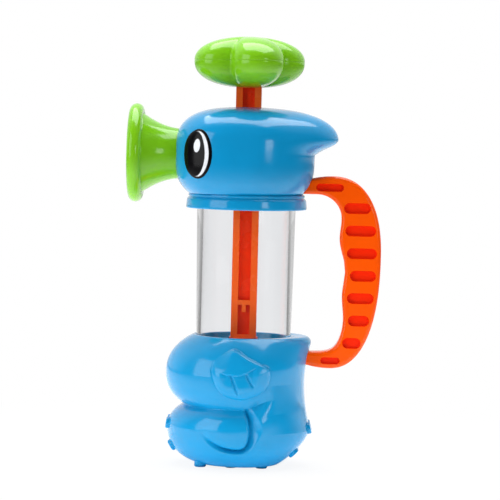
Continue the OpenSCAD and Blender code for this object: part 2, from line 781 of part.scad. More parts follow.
// Studs along the tail's outer edge: those below are feet, those in front (-1) and behind (1) are grips
stud_feet = [-22, -5, 12];
stud_slopes = [[10.6, -1], [23, -1], [8, 1], [22, 1]];
module studs() {
  sink = 2.2;
  function reach(z, way) =
    way * (way < 0 ? front_profile(z) : back_profile(z)) * sqrt(1 - pow(slope_row / side_profile(z), 2));
  for (x = stud_feet) translate([x, -stud_row, 0]) cylinder(r = stud_r, h = base_z + sink);
  for (s = stud_slopes) {
    slope = atan(s[1] * (reach(s[0] + 1, s[1]) - reach(s[0] - 1, s[1])) / 2);
    translate([reach(s[0], s[1]), -slope_row, s[0]]) rotate([0, s[1] * (90 + slope), 0])
      translate([0, 0, -sink]) cylinder(r = stud_r, h = sink + stud_proud);
  }
}

module body_left_shell() {
  color(blue) difference() {
    union() {
      body_loft();
      fin();
      studs();
      for (p = body_screw_places) left_boss(p[0], p[1], body_boss(p[0], p[1]));
    }
    body_sockets();
    curl_cutter();
  }
}

module body_right_shell() {
  color(blue) difference() {
    union() {
      mirror([0, 1, 0]) body_loft();
      mirror([0, 1, 0]) fin();
      mirror([0, 1, 0]) studs();
      for (p = body_screw_places) rod_y(boss_r, p[0], p[1], 0, body_boss(p[0], p[1]));
    }
    body_sockets();
    mirror([0, 1, 0]) curl_cutter();
    for (p = body_screw_places) right_hole(p[0], p[1]);
  }
}

module body_screws() {
  color(steel) for (p = body_screw_places) shell_screw(p[0], p[1]);
}

// Loop handle: its outer edge is two bowed arms and a squared half oval, and its inner edge is a squared
// half oval that leans out at its foot, with finger waves that fade downwards
function loop_point(turn, start_x, half_x, mid_z, up, down, power) =
  [start_x + half_x * pow(abs(cos(turn)), 2 / power),
   mid_z + (turn < 0 ? -down : up) * pow(abs(sin(turn)), 2 / power)];
wave_fade = 12;
function grip_waved(p) =
  let (wave = grip_wave * ease((p[1] - arm_low_z) / wave_rise) * cos(360 * (p[1] - wave_z) / wave_pitch),
       lean = grip_lean * (loop_z - p[1]) / loop_half)
    [p[0] + (lean - wave) * ease((p[0] - loop_x) / wave_fade), p[1]];
loop_turns = [for (i = [-20 : 20]) 90 * sin(90 * i / 20)];
outer_power = 2.35;
inner_power = 4;
outer_x = handle_reach - bow_x;
outer_up = arm_top_z + arm_h / 2 + top_crown - grip_z;
outer_down = grip_z - arm_low_z + arm_h / 2 + low_crown;
inner_x = handle_reach - grip_depth - loop_x;
inner_up = loop_half - arm_h / 2 - inner_drop;
inner_down = loop_half - arm_h / 2;
bow_steps = 6;
bow_xs = [for (i = [0 : bow_steps - 1]) loop_x + (bow_x - loop_x) * i / bow_steps];
function bow(x) = 1 - pow((bow_x - x) / (bow_x - loop_x), 2);
function outer_edge(edge) =
  concat(
    [for (x = bow_xs) [x, arm_low_z - arm_h / 2 - low_crown * bow(x) + edge]],
    [for (t = loop_turns)
       loop_point(t, bow_x, outer_x - edge, grip_z, outer_up - edge, outer_down - edge, outer_power)],
    [for (i = [1 : bow_steps])
       let (x = bow_xs[bow_steps - i]) [x, arm_top_z + arm_h / 2 + top_crown * bow(x) - edge]]);
function inner_edge(edge) =
  [for (t = loop_turns)
     let (p = loop_point(-t, loop_x, inner_x + edge, loop_z, inner_up + edge, inner_down + edge, inner_power))
       grip_waved(p)];
function edge_x(z, start_x, half_x, mid_z, up, down, power) =
  start_x + half_x * pow(max(0, 1 - pow(abs(z - mid_z) / (z < mid_z ? down : up), power)), 1 / power);

// A flat slot with round ends, along X
module slot_shape(from, to, z, h) {
  translate([from + h / 2, z - h / 2]) square([to - from - h, h]);
  translate([from + h / 2, z]) circle(h / 2);
  translate([to - h / 2, z]) circle(h / 2);
}

grip_recess_pitch = 12.55;
grip_recess_drop = 1.6;
recess_in = 3;
recess_out = 2.5;
arm_recess_drop = 1;
arm_recess_end = 18;
low_recess_in = 7.6;
module handle_recesses() {
  for (i = [-3 : 3]) {
    z = loop_z - grip_recess_drop + i * grip_recess_pitch;
    inner = edge_x(z, loop_x, inner_x, loop_z, inner_up, inner_down, inner_power);
    from = grip_waved([inner, z])[0] + recess_in;
    to = edge_x(z, bow_x, outer_x, grip_z, outer_up, outer_down, outer_power) - recess_out;
    slot_shape(from, to, z, recess_h);
  }
  arm_end_x = loop_x + arm_recess_end;
  slot_shape(loop_x + recess_in, arm_end_x, arm_top_z - arm_recess_drop, recess_h * 0.7);
  slot_shape(loop_x + low_recess_in, arm_end_x, arm_low_z - arm_recess_drop, recess_h * 0.6);
}

// One layer of the handle, its edges drawn in by a bevel
module handle_layer(half_t, bevel) {
  rotate([90, 0, 0]) translate([0, 0, -half_t]) linear_extrude(2 * half_t)
    polygon(concat(outer_edge(bevel), inner_edge(bevel)));
}

module handle() {
  color(orange) difference() {
    union() {
      handle_layer(handle_t / 2, handle_edge);
      handle_layer(handle_t / 2 - handle_edge, 0);
    }
    for (side = [-1, 1])
      translate([0, side * handle_t / 2, 0]) rotate([90, 0, 0])
        translate([0, 0, -recess_depth]) linear_extrude(2 * recess_depth) handle_recesses();
  }
  color(orange) arm_end(arm_top_z, head_arm_x, 0);
  color(orange) arm_end(arm_low_z, body_arm_x, 0);
}

// Plan radius of the four-lobed knob
function clover(angle) =
  let (d = ((angle - knob_turn + 45) % 90 + 90) % 90 - 45)
    lobe_offset * cos(d) + sqrt(lobe_r * lobe_r - pow(lobe_offset * sin(d), 2));
knob_power = 2.35;
knob_sides = 48;

// Half of the knob's shell as a bowl, open at the seam; height is signed
module knob_bowl(height) {
  levels = [for (j = [0 : 8]) 90 * j / 9];
  coarse = [for (j = [0 : 4]) 90 * j / 5];
  way = sign(height);
  function bowl(list, inset) =
    concat(
      [for (u = list, i = [0 : knob_sides - 1])
         let (a = 360 * i / knob_sides + knob_turn)
           polar((clover(a) - inset) * pow(cos(u), 2 / knob_power), a,
                 seam_z + (height - way * inset) * pow(sin(u), 2 / knob_power))],
      [[0, 0, seam_z + height - way * inset]]);
  function sides(first, list, flip) =
    let (count = len(list), pole = first + count * knob_sides)
      concat(
        [for (k = [0 : count - 2], i = [0 : knob_sides - 1])
           let (a = first + k * knob_sides + i, b = first + k * knob_sides + (i + 1) % knob_sides)
             each flip ? [[a, b, a + knob_sides], [b, b + knob_sides, a + knob_sides]]
                       : [[a, a + knob_sides, b], [b, a + knob_sides, b + knob_sides]]],
        [for (i = [0 : knob_sides - 1])
           let (a = pole - knob_sides + i, b = pole - knob_sides + (i + 1) % knob_sides)
             flip ? [a, b, pole] : [a, pole, b]]);
  inner_first = len(levels) * knob_sides + 1;
  seam = [for (i = [0 : knob_sides - 1])
            let (a = i, b = (i + 1) % knob_sides, c = inner_first + a, d = inner_first + b)
              each way > 0 ? [[a, b, c], [b, d, c]] : [[a, c, b], [b, c, d]]];
  polyhedron(concat(bowl(levels, 0), bowl(coarse, knob_wall)),
             concat(sides(0, levels, way < 0), sides(inner_first, coarse, way > 0), seam), convexity = 6);
}

// Block in the knob that takes the rod's end, closed by a roof that the screw bears on
rod_roof = 2.4;
roof_z = rod_top + rod_roof;
post_r = screw_head_r + 2.6;
module knob_top_shell() {
  color(green) difference() {
    union() {
      knob_bowl(knob_up);
      translate([0, 0, roof_z]) cylinder(r = post_r, h = knob_top_z - knob_wall / 2 - roof_z);
    }
    translate([0, 0, roof_z - 1]) cylinder(r = screw_head_r + fit, h = screw_head_h + 2);
  }
}

// A square column about the axis
module column(w, d, from, to) {
  translate([-w / 2, -d / 2, from]) cube([w, d, to - from]);
}

module knob_bottom_shell() {
  socket_wall = 2.2;
  color(green) difference() {
    union() {
      knob_bowl(-knob_down);
      column(rod_w + 2 * socket_wall, rod_d + 2 * socket_wall, knob_z0 + knob_wall / 2, roof_z);
    }
    column(rod_w + 2 * fit, rod_d + 2 * fit, knob_z0 - 1, rod_top);
    translate([0, 0, rod_top - 1]) cylinder(r = screw_r + fit, h = rod_roof + 2);
  }
}

module knob_screw() {
  color(steel) translate([0, 0, roof_z]) screw(rod_roof + rod_screw_grip);
}

// I-section rod with a stop flange, a valve stem and a spigot for the piston below
piston_web = 2;
module piston_rod() {
  channel_w = rod_w - 2 * rod_flange;
  foot_bar = 1.6;
  channel_top = rod_top - rod_in_knob;
  color(red) difference() {
    union() {
      column(rod_w, rod_d, rod_z0, rod_top);
      translate([0, 0, stop_z]) cylinder(r = stop_r, h = stop_t);
      translate([0, 0, piston_top]) cylinder(r = stem_r, h = stop_z - piston_top + 1);
      translate([0, 0, piston_z0 + piston_web + fit]) cylinder(r = spigot_pin_r, h = piston_t);
    }
    difference() {
      union() {
        column(channel_w, rod_d + 2, cross_bar_z + cross_bar_h, channel_top);
        column(channel_w, rod_d + 2, rod_z0 + foot_bar, cross_bar_z);
      }
      column(rod_w, rod_d - 2 * rod_channel, rod_z0, rod_top);
      column(channel_w / 3, rod_d, cross_bar_z - tooth_h, cross_bar_z);
    }
    translate([0, 0, rod_top - rod_screw_grip - 1]) cylinder(r = screw_r + hair, h = rod_screw_grip + 2);
    translate([0, 0, piston_z0]) cylinder(r = screw_r + hair, h = piston_web + rod_screw_grip + 1);
  }
}

// Piston with a ring groove, ports and a stepped bore for the rod's spigot
seal_z = piston_z0 + (piston_t - seal_h) / 2;
module piston_head() {
  color(white) difference() {
    translate([0, 0, piston_z0]) cylinder(r = barrel_bore_r - loose, h = piston_t);
    ring(barrel_bore_r + 1, barrel_bore_r - seal_depth - fit, seal_z - fit, seal_h + 2 * fit);
    port_cutters(piston_z0 - 1, piston_t + 2);
    translate([0, 0, piston_z0 + piston_web]) cylinder(r = spigot_pin_r + fit, h = piston_t);
    translate([0, 0, piston_z0 - 1]) cylinder(r = screw_r + fit, h = piston_t);
  }
}

module piston_seal() {
  color(rubber) ring(barrel_bore_r - seal_fit, barrel_bore_r - seal_depth, seal_z, seal_h);
}

module piston_flap() {
  color(rubber) ring(flap_r, stem_r + loose, piston_top + hair, flap_t);
}

module piston_screw() {
  color(steel) translate([0, 0, piston_z0]) mirror([0, 0, 1]) screw(piston_web + rod_screw_grip);
}

// Inlet valve: a ported seat under the barrel, a loose flap and a stem that limits its lift
seat_stem_r = 2;
flap_stem_r = 3;
stem_head_t = 1.8;
module foot_valve_seat() {
  color(white) difference() {
    translate([0, 0, seat_z]) cylinder(r = seat_r, h = seat_t);
    port_cutters(seat_z - 1, seat_t + 2);
    translate([0, 0, seat_z - 1]) cylinder(r = seat_stem_r + hair, h = seat_t + 2);
  }
}

module foot_valve_flap() {
  color(rubber) ring(flap_r, flap_stem_r + loose, seat_top + hair, flap_t);
}

module foot_valve_stem() {
  stem_top = seat_top + flap_t + flap_lift + 2 * hair;
  color(white) {
    translate([0, 0, seat_z - stem_head_t]) cylinder(r = 2 * seat_stem_r, h = stem_head_t);
    translate([0, 0, seat_z - 1]) cylinder(r = seat_stem_r, h = seat_t + 2);
    translate([0, 0, seat_top]) cylinder(r = flap_stem_r, h = stem_top - seat_top + 1);
    translate([0, 0, stem_top]) cylinder(r = 2 * flap_stem_r, h = stem_head_t);
  }
}

// Inlet grid in the base with a flange inside
module intake_strainer() {
  hole_r = 1.3;
  hole_pitch = strainer_r * 0.38;
  flange = 1.6;
  sunk = 0.4;
  color(blue) difference() {
    union() {
      translate([0, 0, base_z + sunk]) cylinder(r = strainer_r, h = base_t);
      translate([0, 0, base_z + base_t + hair]) cylinder(r = strainer_r + 2, h = flange);
    }
    for (k = [1, 2], i = [0 : 6 * k - 1])
      rotate([0, 0, 60 * i / k]) translate([hole_pitch * k, 0, 0]) cylinder(r = hole_r, h = 4 * base_t);
  }
}

knob_top_shell();
knob_bottom_shell();
knob_screw();
piston_rod();
piston_head();
piston_seal();
piston_flap();
piston_screw();
rod_guide();
head_left_shell();
head_right_shell();
head_screws();
left_eye();
right_eye();
mouth_horn();
collar_ring();
upper_gasket();
barrel();
lower_gasket();
body_left_shell();
body_right_shell();
body_screws();
handle();
foot_valve_seat();
foot_valve_flap();
foot_valve_stem();
intake_strainer();
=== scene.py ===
# Looks of the seahorse pump squirter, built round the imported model.
# Shape functions work in millimetres in the part's own frame; meshes are made in metres.
import math

import bmesh
import bpy
import numpy as np
from mathutils import Matrix, Vector


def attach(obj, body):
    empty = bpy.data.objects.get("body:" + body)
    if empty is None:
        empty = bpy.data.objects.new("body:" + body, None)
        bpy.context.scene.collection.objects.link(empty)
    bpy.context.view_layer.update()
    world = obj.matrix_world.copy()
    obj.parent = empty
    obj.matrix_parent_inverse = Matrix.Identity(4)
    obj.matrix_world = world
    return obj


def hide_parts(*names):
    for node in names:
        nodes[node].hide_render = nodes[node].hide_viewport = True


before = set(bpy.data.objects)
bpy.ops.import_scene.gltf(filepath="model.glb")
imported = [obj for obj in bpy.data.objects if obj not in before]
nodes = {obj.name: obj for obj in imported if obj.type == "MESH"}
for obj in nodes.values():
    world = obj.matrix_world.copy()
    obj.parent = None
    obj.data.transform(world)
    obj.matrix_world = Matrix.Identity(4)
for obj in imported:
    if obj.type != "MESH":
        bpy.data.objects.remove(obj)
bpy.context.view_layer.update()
scene = bpy.context.scene
MM = 0.001

# Sizes of the part, named as in its source
BARREL_BORE_R = 24.1
BARREL_R0 = 26.1
BARREL_DRAFT = 1.6
BARREL_Z0 = 37.5
BARREL_Z1 = 158.0
FIT = 0.15
LOOSE = 0.3
SHELL_WALL = 2.4

NECK_Z = 152.0
EQUATOR_Z = 175.0
CROWN_Z = 200.2
LEDGE_Z = 159.5
HEAD_FRONT = 40.3
HEAD_BACK = 37.6
HEAD_SIDE = 37.5
NECK_FRONT_LAND = 4.4
NECK_BACK_LAND = 3.4
NECK_SIDE_LAND = 3.8
HEAD_POWER = 2.9
HEAD_PLAN = 2.7
NECK_POWER = 3.6
CREST_REACH = 13.6
CREST_DROP = 15.7
CREST_FALL = 10.6
CREST_SPREAD = 29.0
CREST_Z = CROWN_Z - CREST_DROP
ROD_W = 14.1
ROD_D = 11.0
GUIDE_WALL = 1.4
GUIDE_R = math.hypot(ROD_W, ROD_D) / 2 + LOOSE + GUIDE_WALL

EYE_HALF_W = 8.4
EYE_HALF_H = 13.6
EYE_ANGLE = 50.0
EYE_DROP = 1.0
EYE_PROUD = 0.6

HORN_REACH = 66.2
HORN_DROP = 1.4
HORN_Z = EQUATOR_Z - HORN_DROP
HORN_LIP_R = 27.5
LIP_ROUND = 3.9
LIP_CENTRE_R = HORN_LIP_R - LIP_ROUND
HORN_ROOT_R = 15.3
HORN_NECK_R = 13.9
HORN_BORE_R = 10.5
HORN_WALL = 2.6
HORN_IN_HEAD = 10.0
HORN_BACK = HEAD_FRONT - HORN_IN_HEAD
FLARE_IN_HEAD = 4.3
FLARE_START = HEAD_FRONT - FLARE_IN_HEAD
FLARE_END = HORN_REACH - 2 * LIP_ROUND
FLARE_BELOW_LIP = 0.41
FLARE_R = LIP_CENTRE_R - FLARE_BELOW_LIP * LIP_ROUND

COLLAR_Z0 = 143.6
COLLAR_R = 33.7

BODY_H = 73.0
RIM_LAND = 1.2
BELLY_FRONT = 43.0
BELLY_SIDE = 39.0
BELLY_MID = 52.0
CREASE_H = 34.0
CREASE_FRONT = 32.6
CREASE_SIDE = 34.0
TAIL_FRONT = 41.5
TAIL_SIDE = 38.4
TAIL_MID = 21.0
TAIL_BACK = 38.5
WAIST_BACK = 34.9
RIM_BACK = 39.3
RIM_CORNER = 5.0
FOOT_FRONT = 25.0
FOOT_SIDE = 24.0
FOOT_BACK = 21.5
SHOULDER_POWER = 2.15
SIDE_SHOULDER = 1.6
BACK_FOOT_POWER = 1.5
BASE_Z = 1.2
STUD_R = 3.3
STUD_ROW = 15.0
SLOPE_ROW = 6.0
STRAINER_R = 11.0

HANDLE_REACH = 75.8
GRIP_DEPTH = 21.0
GRIP_WAVE = 1.35
HANDLE_T = 12.0
ARM_H = 7.6
ARM_TOP_Z = 157.6
ARM_LOW_Z = 61.0
LOOP_X = 36.0
LOOP_Z = (ARM_TOP_Z + ARM_LOW_Z) / 2
LOOP_HALF = (ARM_TOP_Z - ARM_LOW_Z) / 2
BOW_X = 48.0
TOP_CROWN = 1.5
LOW_CROWN = 1.6
INNER_DROP = 1.1
GRIP_RISE = 9.2
GRIP_Z = LOOP_Z + GRIP_RISE
GRIP_LEAN = 2.0
WAVE_PITCH = 33.3
WAVE_PHASE = 0.53
WAVE_Z = LOOP_Z + WAVE_PHASE * WAVE_PITCH
WAVE_FADE = 12.0
WAVE_RISE = 60.0
OUTER_POWER = 2.35
INNER_POWER = 4.0
RECESSES_EACH_WAY = 3
RECESS_H = 5.6
RECESS_DEPTH = 2.0
RECESS_PITCH = 12.55
RECESS_DROP = 1.6
RECESS_IN = 3.0
RECESS_OUT = 2.5
ARM_RECESS_DROP = 1.0
ARM_RECESS_END = 18.0
LOW_RECESS_IN = 7.6
TOP_RECESS_SHARE = 0.7
LOW_RECESS_SHARE = 0.6

LOBE_R = 14.5
LOBE_OFFSET = 16.9
KNOB_UP = 13.6
KNOB_DOWN = 14.9
KNOB_TURN = 16.5
KNOB_POWER = 2.35
KNOB_TOP_POWER = 2.15
SEAM_Z = 225.9


def barrel_r(z):
    return BARREL_R0 + BARREL_DRAFT * (z - BARREL_Z0) / (BARREL_Z1 - BARREL_Z0)


NECK_BORE = barrel_r(BARREL_Z1) + FIT
RIM_BORE = barrel_r(BODY_H) + FIT
RIM_R = RIM_BORE + RIM_LAND


def ease(s):
    c = np.clip(s, 0.0, 1.0)
    return c * c * (3 - 2 * c)


def bell(s):
    return np.exp(-np.square(s))


def rises(x, start, over):
    """Grows smoothly from 0 at a start to 1, over a stretch."""
    return ease((x - start) / over)


def falls(x, end, over):
    """Sinks smoothly from 1 to 0 at an end, over a stretch."""
    return ease((end - x) / over)


def sind(a):
    return np.sin(np.radians(a))


def cosd(a):
    return np.cos(np.radians(a))


def full_turn(count):
    """Evenly spaced angles round a circle."""
    return np.arange(count) * 360 / count


def quarter(wide, end, s, power):
    """Radius of a squared quarter arc from a wide radius to an end radius as s goes from 0 to 1."""
    k = (1 - (end / wide) ** power) ** (1 / power)
    return wide * np.maximum(0, 1 - (np.clip(s, 0, 1) * k) ** power) ** (1 / power)


def oval(angle, front, back, side, front_power=2.0):
    """Radius of an oval with its own reach to the front, back and side, and a front that may be squarer."""
    fore = cosd(angle) < 0
    along = np.where(fore, front, back)
    power = np.where(fore, front_power, 2.0)
    return ((np.abs(cosd(angle)) / along) ** power + (np.abs(sind(angle)) / side) ** power) ** (-1 / power)


# Meshes from point grids


def quads(rows, cols, first=0):
    """Quads between closed rows of points that are stored row by row."""
    a = first + np.arange((rows - 1) * cols).reshape(rows - 1, cols)
    b = np.roll(a, -1, axis=1)
    return np.stack([a, b, b + cols, a + cols], -1).reshape(-1, 4).tolist()


def capped(rows, cols, first=0):
    """Faces of a tube of closed rows of points, with a cap at each end."""
    last = first + (rows - 1) * cols
    caps = [[start + k for k in range(cols)] for start in (first, last)]
    return quads(rows, cols, first) + caps


def circle_at(radius, turn, z):
    """A closed row of points at a height, with one radius or one for each angle."""
    return np.stack([radius * cosd(turn), radius * sind(turn), np.full(len(turn), z)], -1)


def make_mesh(name, points, faces, sharp):
    """A smooth-shaded object from points in millimetres, with normals turned outwards."""
    mesh = bpy.data.meshes.new(name)
    mesh.from_pydata((np.asarray(points, float) * MM).tolist(), [], faces)
    bm = bmesh.new()
    bm.from_mesh(mesh)
    bmesh.ops.recalc_face_normals(bm, faces=bm.faces)
    bm.to_mesh(mesh)
    bm.free()
    mesh.polygons.foreach_set("use_smooth", [True] * len(mesh.polygons))
    mesh.set_sharp_from_angle(angle=math.radians(sharp))
    obj = bpy.data.objects.new(name, mesh)
    scene.collection.objects.link(obj)
    return obj


def loft(name, loops, sharp=50):
    """A solid from closed loops of points, one after another."""
    loops = np.asarray(loops)
    return make_mesh(name, loops.reshape(-1, 3), capped(*loops.shape[:2]), sharp)


def lathe(name, profile, segments=160):
    """A solid turned about Z from a closed profile of (radius, height) points."""
    r, z = profile.T
    turn = full_turn(segments)[:, None]
    points = np.stack([r * cosd(turn), r * sind(turn), np.broadcast_to(z, (segments, len(z)))], -1)
    count = segments * len(z)
    faces = [[k % count for k in face] for face in quads(segments + 1, len(z))]
    return make_mesh(name, points.reshape(-1, 3), faces, sharp=40)


CUT_SHARP = 42.0


def cut(obj, cutters, transfer=False):
    """Subtracts closed cutters from a closed object and removes them."""
    for cutter in cutters:
        mod = obj.modifiers.new("cut", "BOOLEAN")
        mod.operation = "DIFFERENCE"
        mod.solver = "EXACT"
        mod.object = cutter
        if transfer:
            mod.material_mode = "TRANSFER"
    depsgraph = bpy.context.evaluated_depsgraph_get()
    depsgraph.update()
    result = bpy.data.meshes.new_from_object(obj.evaluated_get(depsgraph))
    obj.modifiers.clear()
    obj.data = result
    result.set_sharp_from_angle(angle=math.radians(CUT_SHARP))
    for cutter in cutters:
        mesh = cutter.data
        bpy.data.objects.remove(cutter)
        bpy.data.meshes.remove(mesh)


def cylinder_cutter(radius, start, end, segments):
    """A closed level cylinder between two points."""
    a = np.array(start)
    b = np.array(end)
    axis = (b - a) / np.linalg.norm(b - a)
    side = np.cross(axis, [0, 0, 1])
    up = np.cross(axis, side)
    turn = full_turn(segments)[:, None]
    ring = radius * (cosd(turn) * side + sind(turn) * up)
    return loft("cutter", [a + ring, b + ring], sharp=40)


def mirrored(loops):
    """Section loops of the other half."""
    return loops * np.array([1, -1, 1])


# Seam between two halves: columns crowd towards the middle plane, where the skin rolls in
SEAM_STEPS = np.array([0, 0.1, 0.22, 0.38, 0.6, 0.9, 1.3])
SEAM_DIP = 0.2
SEAM_WIDTH = 0.45
SEAM_GAP = 0.02
SIDE_FROM = 182.0
SIDE_TO = 358.0


def seam_columns(inner):
    """Column angles from the front (180) to the back (360) with crowded ends."""
    return np.concatenate([180 + SEAM_STEPS, inner, (360 - SEAM_STEPS)[::-1]])


def seam_dip(y):
    """How far the skin rolls in at a distance from the middle plane."""
    t = np.clip(1 - np.abs(y) / SEAM_WIDTH, 0, 1)
    return SEAM_DIP * t * t


def shell_loops(angles, stretches):
    """Section loops of a half from stretches of (radius, height), each a number or a columns by rows grid."""
    radii = []
    heights = []
    for radius, height in stretches:
        shape = np.broadcast_shapes(np.shape(radius), np.shape(height), (len(angles), 1))
        radii.append(np.broadcast_to(radius, shape))
        heights.append(np.broadcast_to(height, shape))
    r = np.concatenate(radii, axis=1)
    a = angles[:, None]
    points = np.stack([r * cosd(a), r * sind(a), np.concatenate(heights, axis=1)], -1)
    points[..., 1] = np.minimum(points[..., 1], 0) - SEAM_GAP
    return points


# Head
CREST_FALL_POWER = 1.3
HEAD_COLUMNS = 130
HEAD_LOW_ROWS = 46
HEAD_HIGH_ROWS = 64
HEAD_TOP_SHARE = 0.93
NECK_FOOT = 1.0
CROWN_DIP = 0.15
HOLE_ROLL = 0.5
INNER_STEP = 6
INNER_START = -0.6
LEDGE_IN = 5.0
LEDGE_THICK = 3.0


def head_level(u):
    """Height of a level on the head: -1 at the neck, 0 at the equator and 1 at the crown."""
    up = EQUATOR_Z + (CROWN_Z - EQUATOR_Z) * np.abs(sind(90 * np.clip(u, 0, 1))) ** (2 / HEAD_POWER)
    return np.where(u >= 0, up, EQUATOR_Z + (EQUATOR_Z - NECK_Z) * u)


def head_taper(wide, land, u):
    """How far the head reaches in one direction at a level."""
    up = wide * np.abs(cosd(90 * np.clip(u, 0, 1))) ** (2 / HEAD_POWER)
    down = wide - (wide - NECK_BORE - land) * np.clip(-u, 0, 1) ** NECK_POWER
    return np.where(u >= 0, up, down)


def crest_at(z):
    above = CREST_REACH * np.sqrt(np.maximum(0, 1 - np.clip((z - CREST_Z) / CREST_DROP, 0, 1) ** 2))
    below = CREST_REACH * (1 + cosd(180 * np.clip((CREST_Z - z) / CREST_FALL, 0, 1) ** CREST_FALL_POWER)) / 2
    return np.where(z >= CREST_Z, above, below)


def head_r(angle, u):
    """Radius of the head with its crest."""
    front = head_taper(HEAD_FRONT, NECK_FRONT_LAND, u)
    back = head_taper(HEAD_BACK, NECK_BACK_LAND, u)
    side = head_taper(HEAD_SIDE, NECK_SIDE_LAND, u)
    off_back = np.minimum(np.abs(angle), np.abs(angle - 360))
    crest = crest_at(head_level(u)) * bell(off_back / CREST_SPREAD)
    return oval(angle, front, back, side, HEAD_PLAN) + crest


def head_u(z):
    """Level of a height on the head, the inverse of head_level."""
    up = np.clip((z - EQUATOR_Z) / (CROWN_Z - EQUATOR_Z), 0, 1)
    above = np.degrees(np.arcsin(up ** (HEAD_POWER / 2))) / 90
    below = (z - EQUATOR_Z) / (EQUATOR_Z - NECK_Z)
    return np.where(z < EQUATOR_Z, below, above)


def head_loops():
    """The head's skin, the hole for the rod's guide, the inner wall and the ledge over the barrel."""
    angles = seam_columns(np.linspace(SIDE_FROM, SIDE_TO, HEAD_COLUMNS))
    low = -np.cos(np.linspace(0, math.pi / 2, HEAD_LOW_ROWS))
    high = np.sin(np.linspace(0, math.pi / 2, HEAD_HIGH_ROWS))[1:] * HEAD_TOP_SHARE
    us = np.concatenate([low, high])
    a = angles[:, None]
    r = head_r(a, us[None, :])
    skin = r - seam_dip(r * sind(a))
    inner_us = us[::INNER_STEP]
    inner_us = inner_us[inner_us > INNER_START][None, ::-1]
    ceiling = CROWN_Z - SHELL_WALL
    hole = GUIDE_R + FIT
    hole_top = CROWN_Z - CROWN_DIP
    ledge_r = NECK_BORE - LEDGE_IN
    stretches = [
        (NECK_BORE, NECK_Z),
        (NECK_BORE + NECK_FOOT, NECK_Z),
        (skin, head_level(us[None, :])),
        (hole + HOLE_ROLL, hole_top),
        (hole, hole_top - HOLE_ROLL),
        (hole, ceiling),
        (head_r(a, inner_us) - SHELL_WALL, np.minimum(head_level(inner_us), ceiling)),
        (ledge_r, LEDGE_Z + LEDGE_THICK),
        (ledge_r, LEDGE_Z),
        (NECK_BORE, LEDGE_Z),
    ]
    return shell_loops(angles, stretches)


# Body
BELLY_POWER = 2.4
TAIL_POWER = 2.2
FOOT_POWER = 2.5


def body_profile(z, belly, crease, tail, foot, shoulder):
    return np.select(
        [z >= BELLY_MID, z >= CREASE_H, z >= TAIL_MID],
        [
            quarter(belly, RIM_R, (z - BELLY_MID) / (BODY_H - BELLY_MID), shoulder),
            quarter(belly, crease, (BELLY_MID - z) / (BELLY_MID - CREASE_H), BELLY_POWER),
            quarter(tail, crease, (z - TAIL_MID) / (CREASE_H - TAIL_MID), TAIL_POWER),
        ],
        quarter(tail, foot, (TAIL_MID - z) / (TAIL_MID - BASE_Z), FOOT_POWER),
    )


def back_profile(z):
    waist_z = (BODY_H + TAIL_MID) / 2
    corner = np.clip((z - BODY_H + RIM_CORNER) / RIM_CORNER, 0, 1)
    return np.select(
        [z < TAIL_MID, z < waist_z],
        [
            quarter(TAIL_BACK, FOOT_BACK, (TAIL_MID - z) / (TAIL_MID - BASE_Z), BACK_FOOT_POWER),
            WAIST_BACK + (TAIL_BACK - WAIST_BACK) * ((waist_z - z) / (waist_z - TAIL_MID)) ** 2,
        ],
        WAIST_BACK
        + (RIM_BACK - WAIST_BACK) * ((z - waist_z) / (BODY_H - waist_z)) ** 2
        - RIM_CORNER * (1 - np.sqrt(1 - corner**2)),
    )


def front_profile(z):
    return body_profile(z, BELLY_FRONT, CREASE_FRONT, TAIL_FRONT, FOOT_FRONT, SHOULDER_POWER)


def side_profile(z):
    return body_profile(z, BELLY_SIDE, CREASE_SIDE, TAIL_SIDE, FOOT_SIDE, SIDE_SHOULDER)


# Side fin: a raised leaf inside a closed outline, which melts into the belly at its upper front.
# Here and for the tail, a pair says where a change starts or ends and over how long a stretch.
FIN = [
    (-8.8, 65.5), (-3.2, 67.6), (3.5, 63.6), (9.7, 60.5), (15.4, 57.6), (16.3, 55.0),
    (15.5, 49.4), (11.2, 43.8), (0.2, 39.9), (-11.0, 43.8), (-15.9, 54.3), (-14.4, 61.0),
]
FIN_MERGE_X = -12.2
FIN_MERGE_Z = 63.6
FIN_MERGE_R = 5.5
FIN_MERGE_LOSS = 0.7
FIN_PROUD = 2.2
FIN_DOME = 9.0
FIN_DOME_POWER = 2.6
FIN_LINE = 0.18
FIN_LINE_W = 0.5
FIN_BORDER = (1.0, 2.0)

# The fin's upper edge is crisp, between these shares of the way round the outline
FIN_CRISP = 1.3
CRISP_IN = (-0.06, 0.14)
CRISP_OUT = (0.36, 0.08)

# A stepped leaf line across the fin, and two ribs below it
LEAF_X = [-10.8, -8.1, -4.3, -0.7, 4.6, 8.2]
LEAF_Z = [55.2, 54.3, 53.7, 53.8, 56.0, 58.2]
LEAF_STEP = 0.9
LEAF_EDGE = 0.7
LEAF_IN = (-11.3, 4.0)
LEAF_OUT = (9.2, 3.0)
LEAF_FOOT = (44.0, 8.0)
RIBS = [[(-5.2, 53.4), (-2.9, 48.0), (-1.0, 42.2)], [(3.5, 53.8), (5.3, 50.2), (7.2, 47.0)]]
RIB_DEPTH = 0.9
RIB_WIDTH = 0.6
RIB_OUT = (1.02, 0.25)
RIB_BORDER = 1.5


def smooth_table(x, xs, ys):
    """Cubic interpolation through a table, for gentle outlines."""
    xs = np.asarray(xs, float)
    ys = np.asarray(ys, float)
    slopes = np.gradient(ys, xs)
    k = np.clip(np.searchsorted(xs, x) - 1, 0, len(xs) - 2)
    h = xs[k + 1] - xs[k]
    t = np.clip((x - xs[k]) / h, 0, 1)
    return (
        ys[k] * (1 + 2 * t) * (1 - t) ** 2
        + slopes[k] * h * t * (1 - t) ** 2
        + ys[k + 1] * t * t * (3 - 2 * t)
        + slopes[k + 1] * h * t * t * (t - 1)
    )


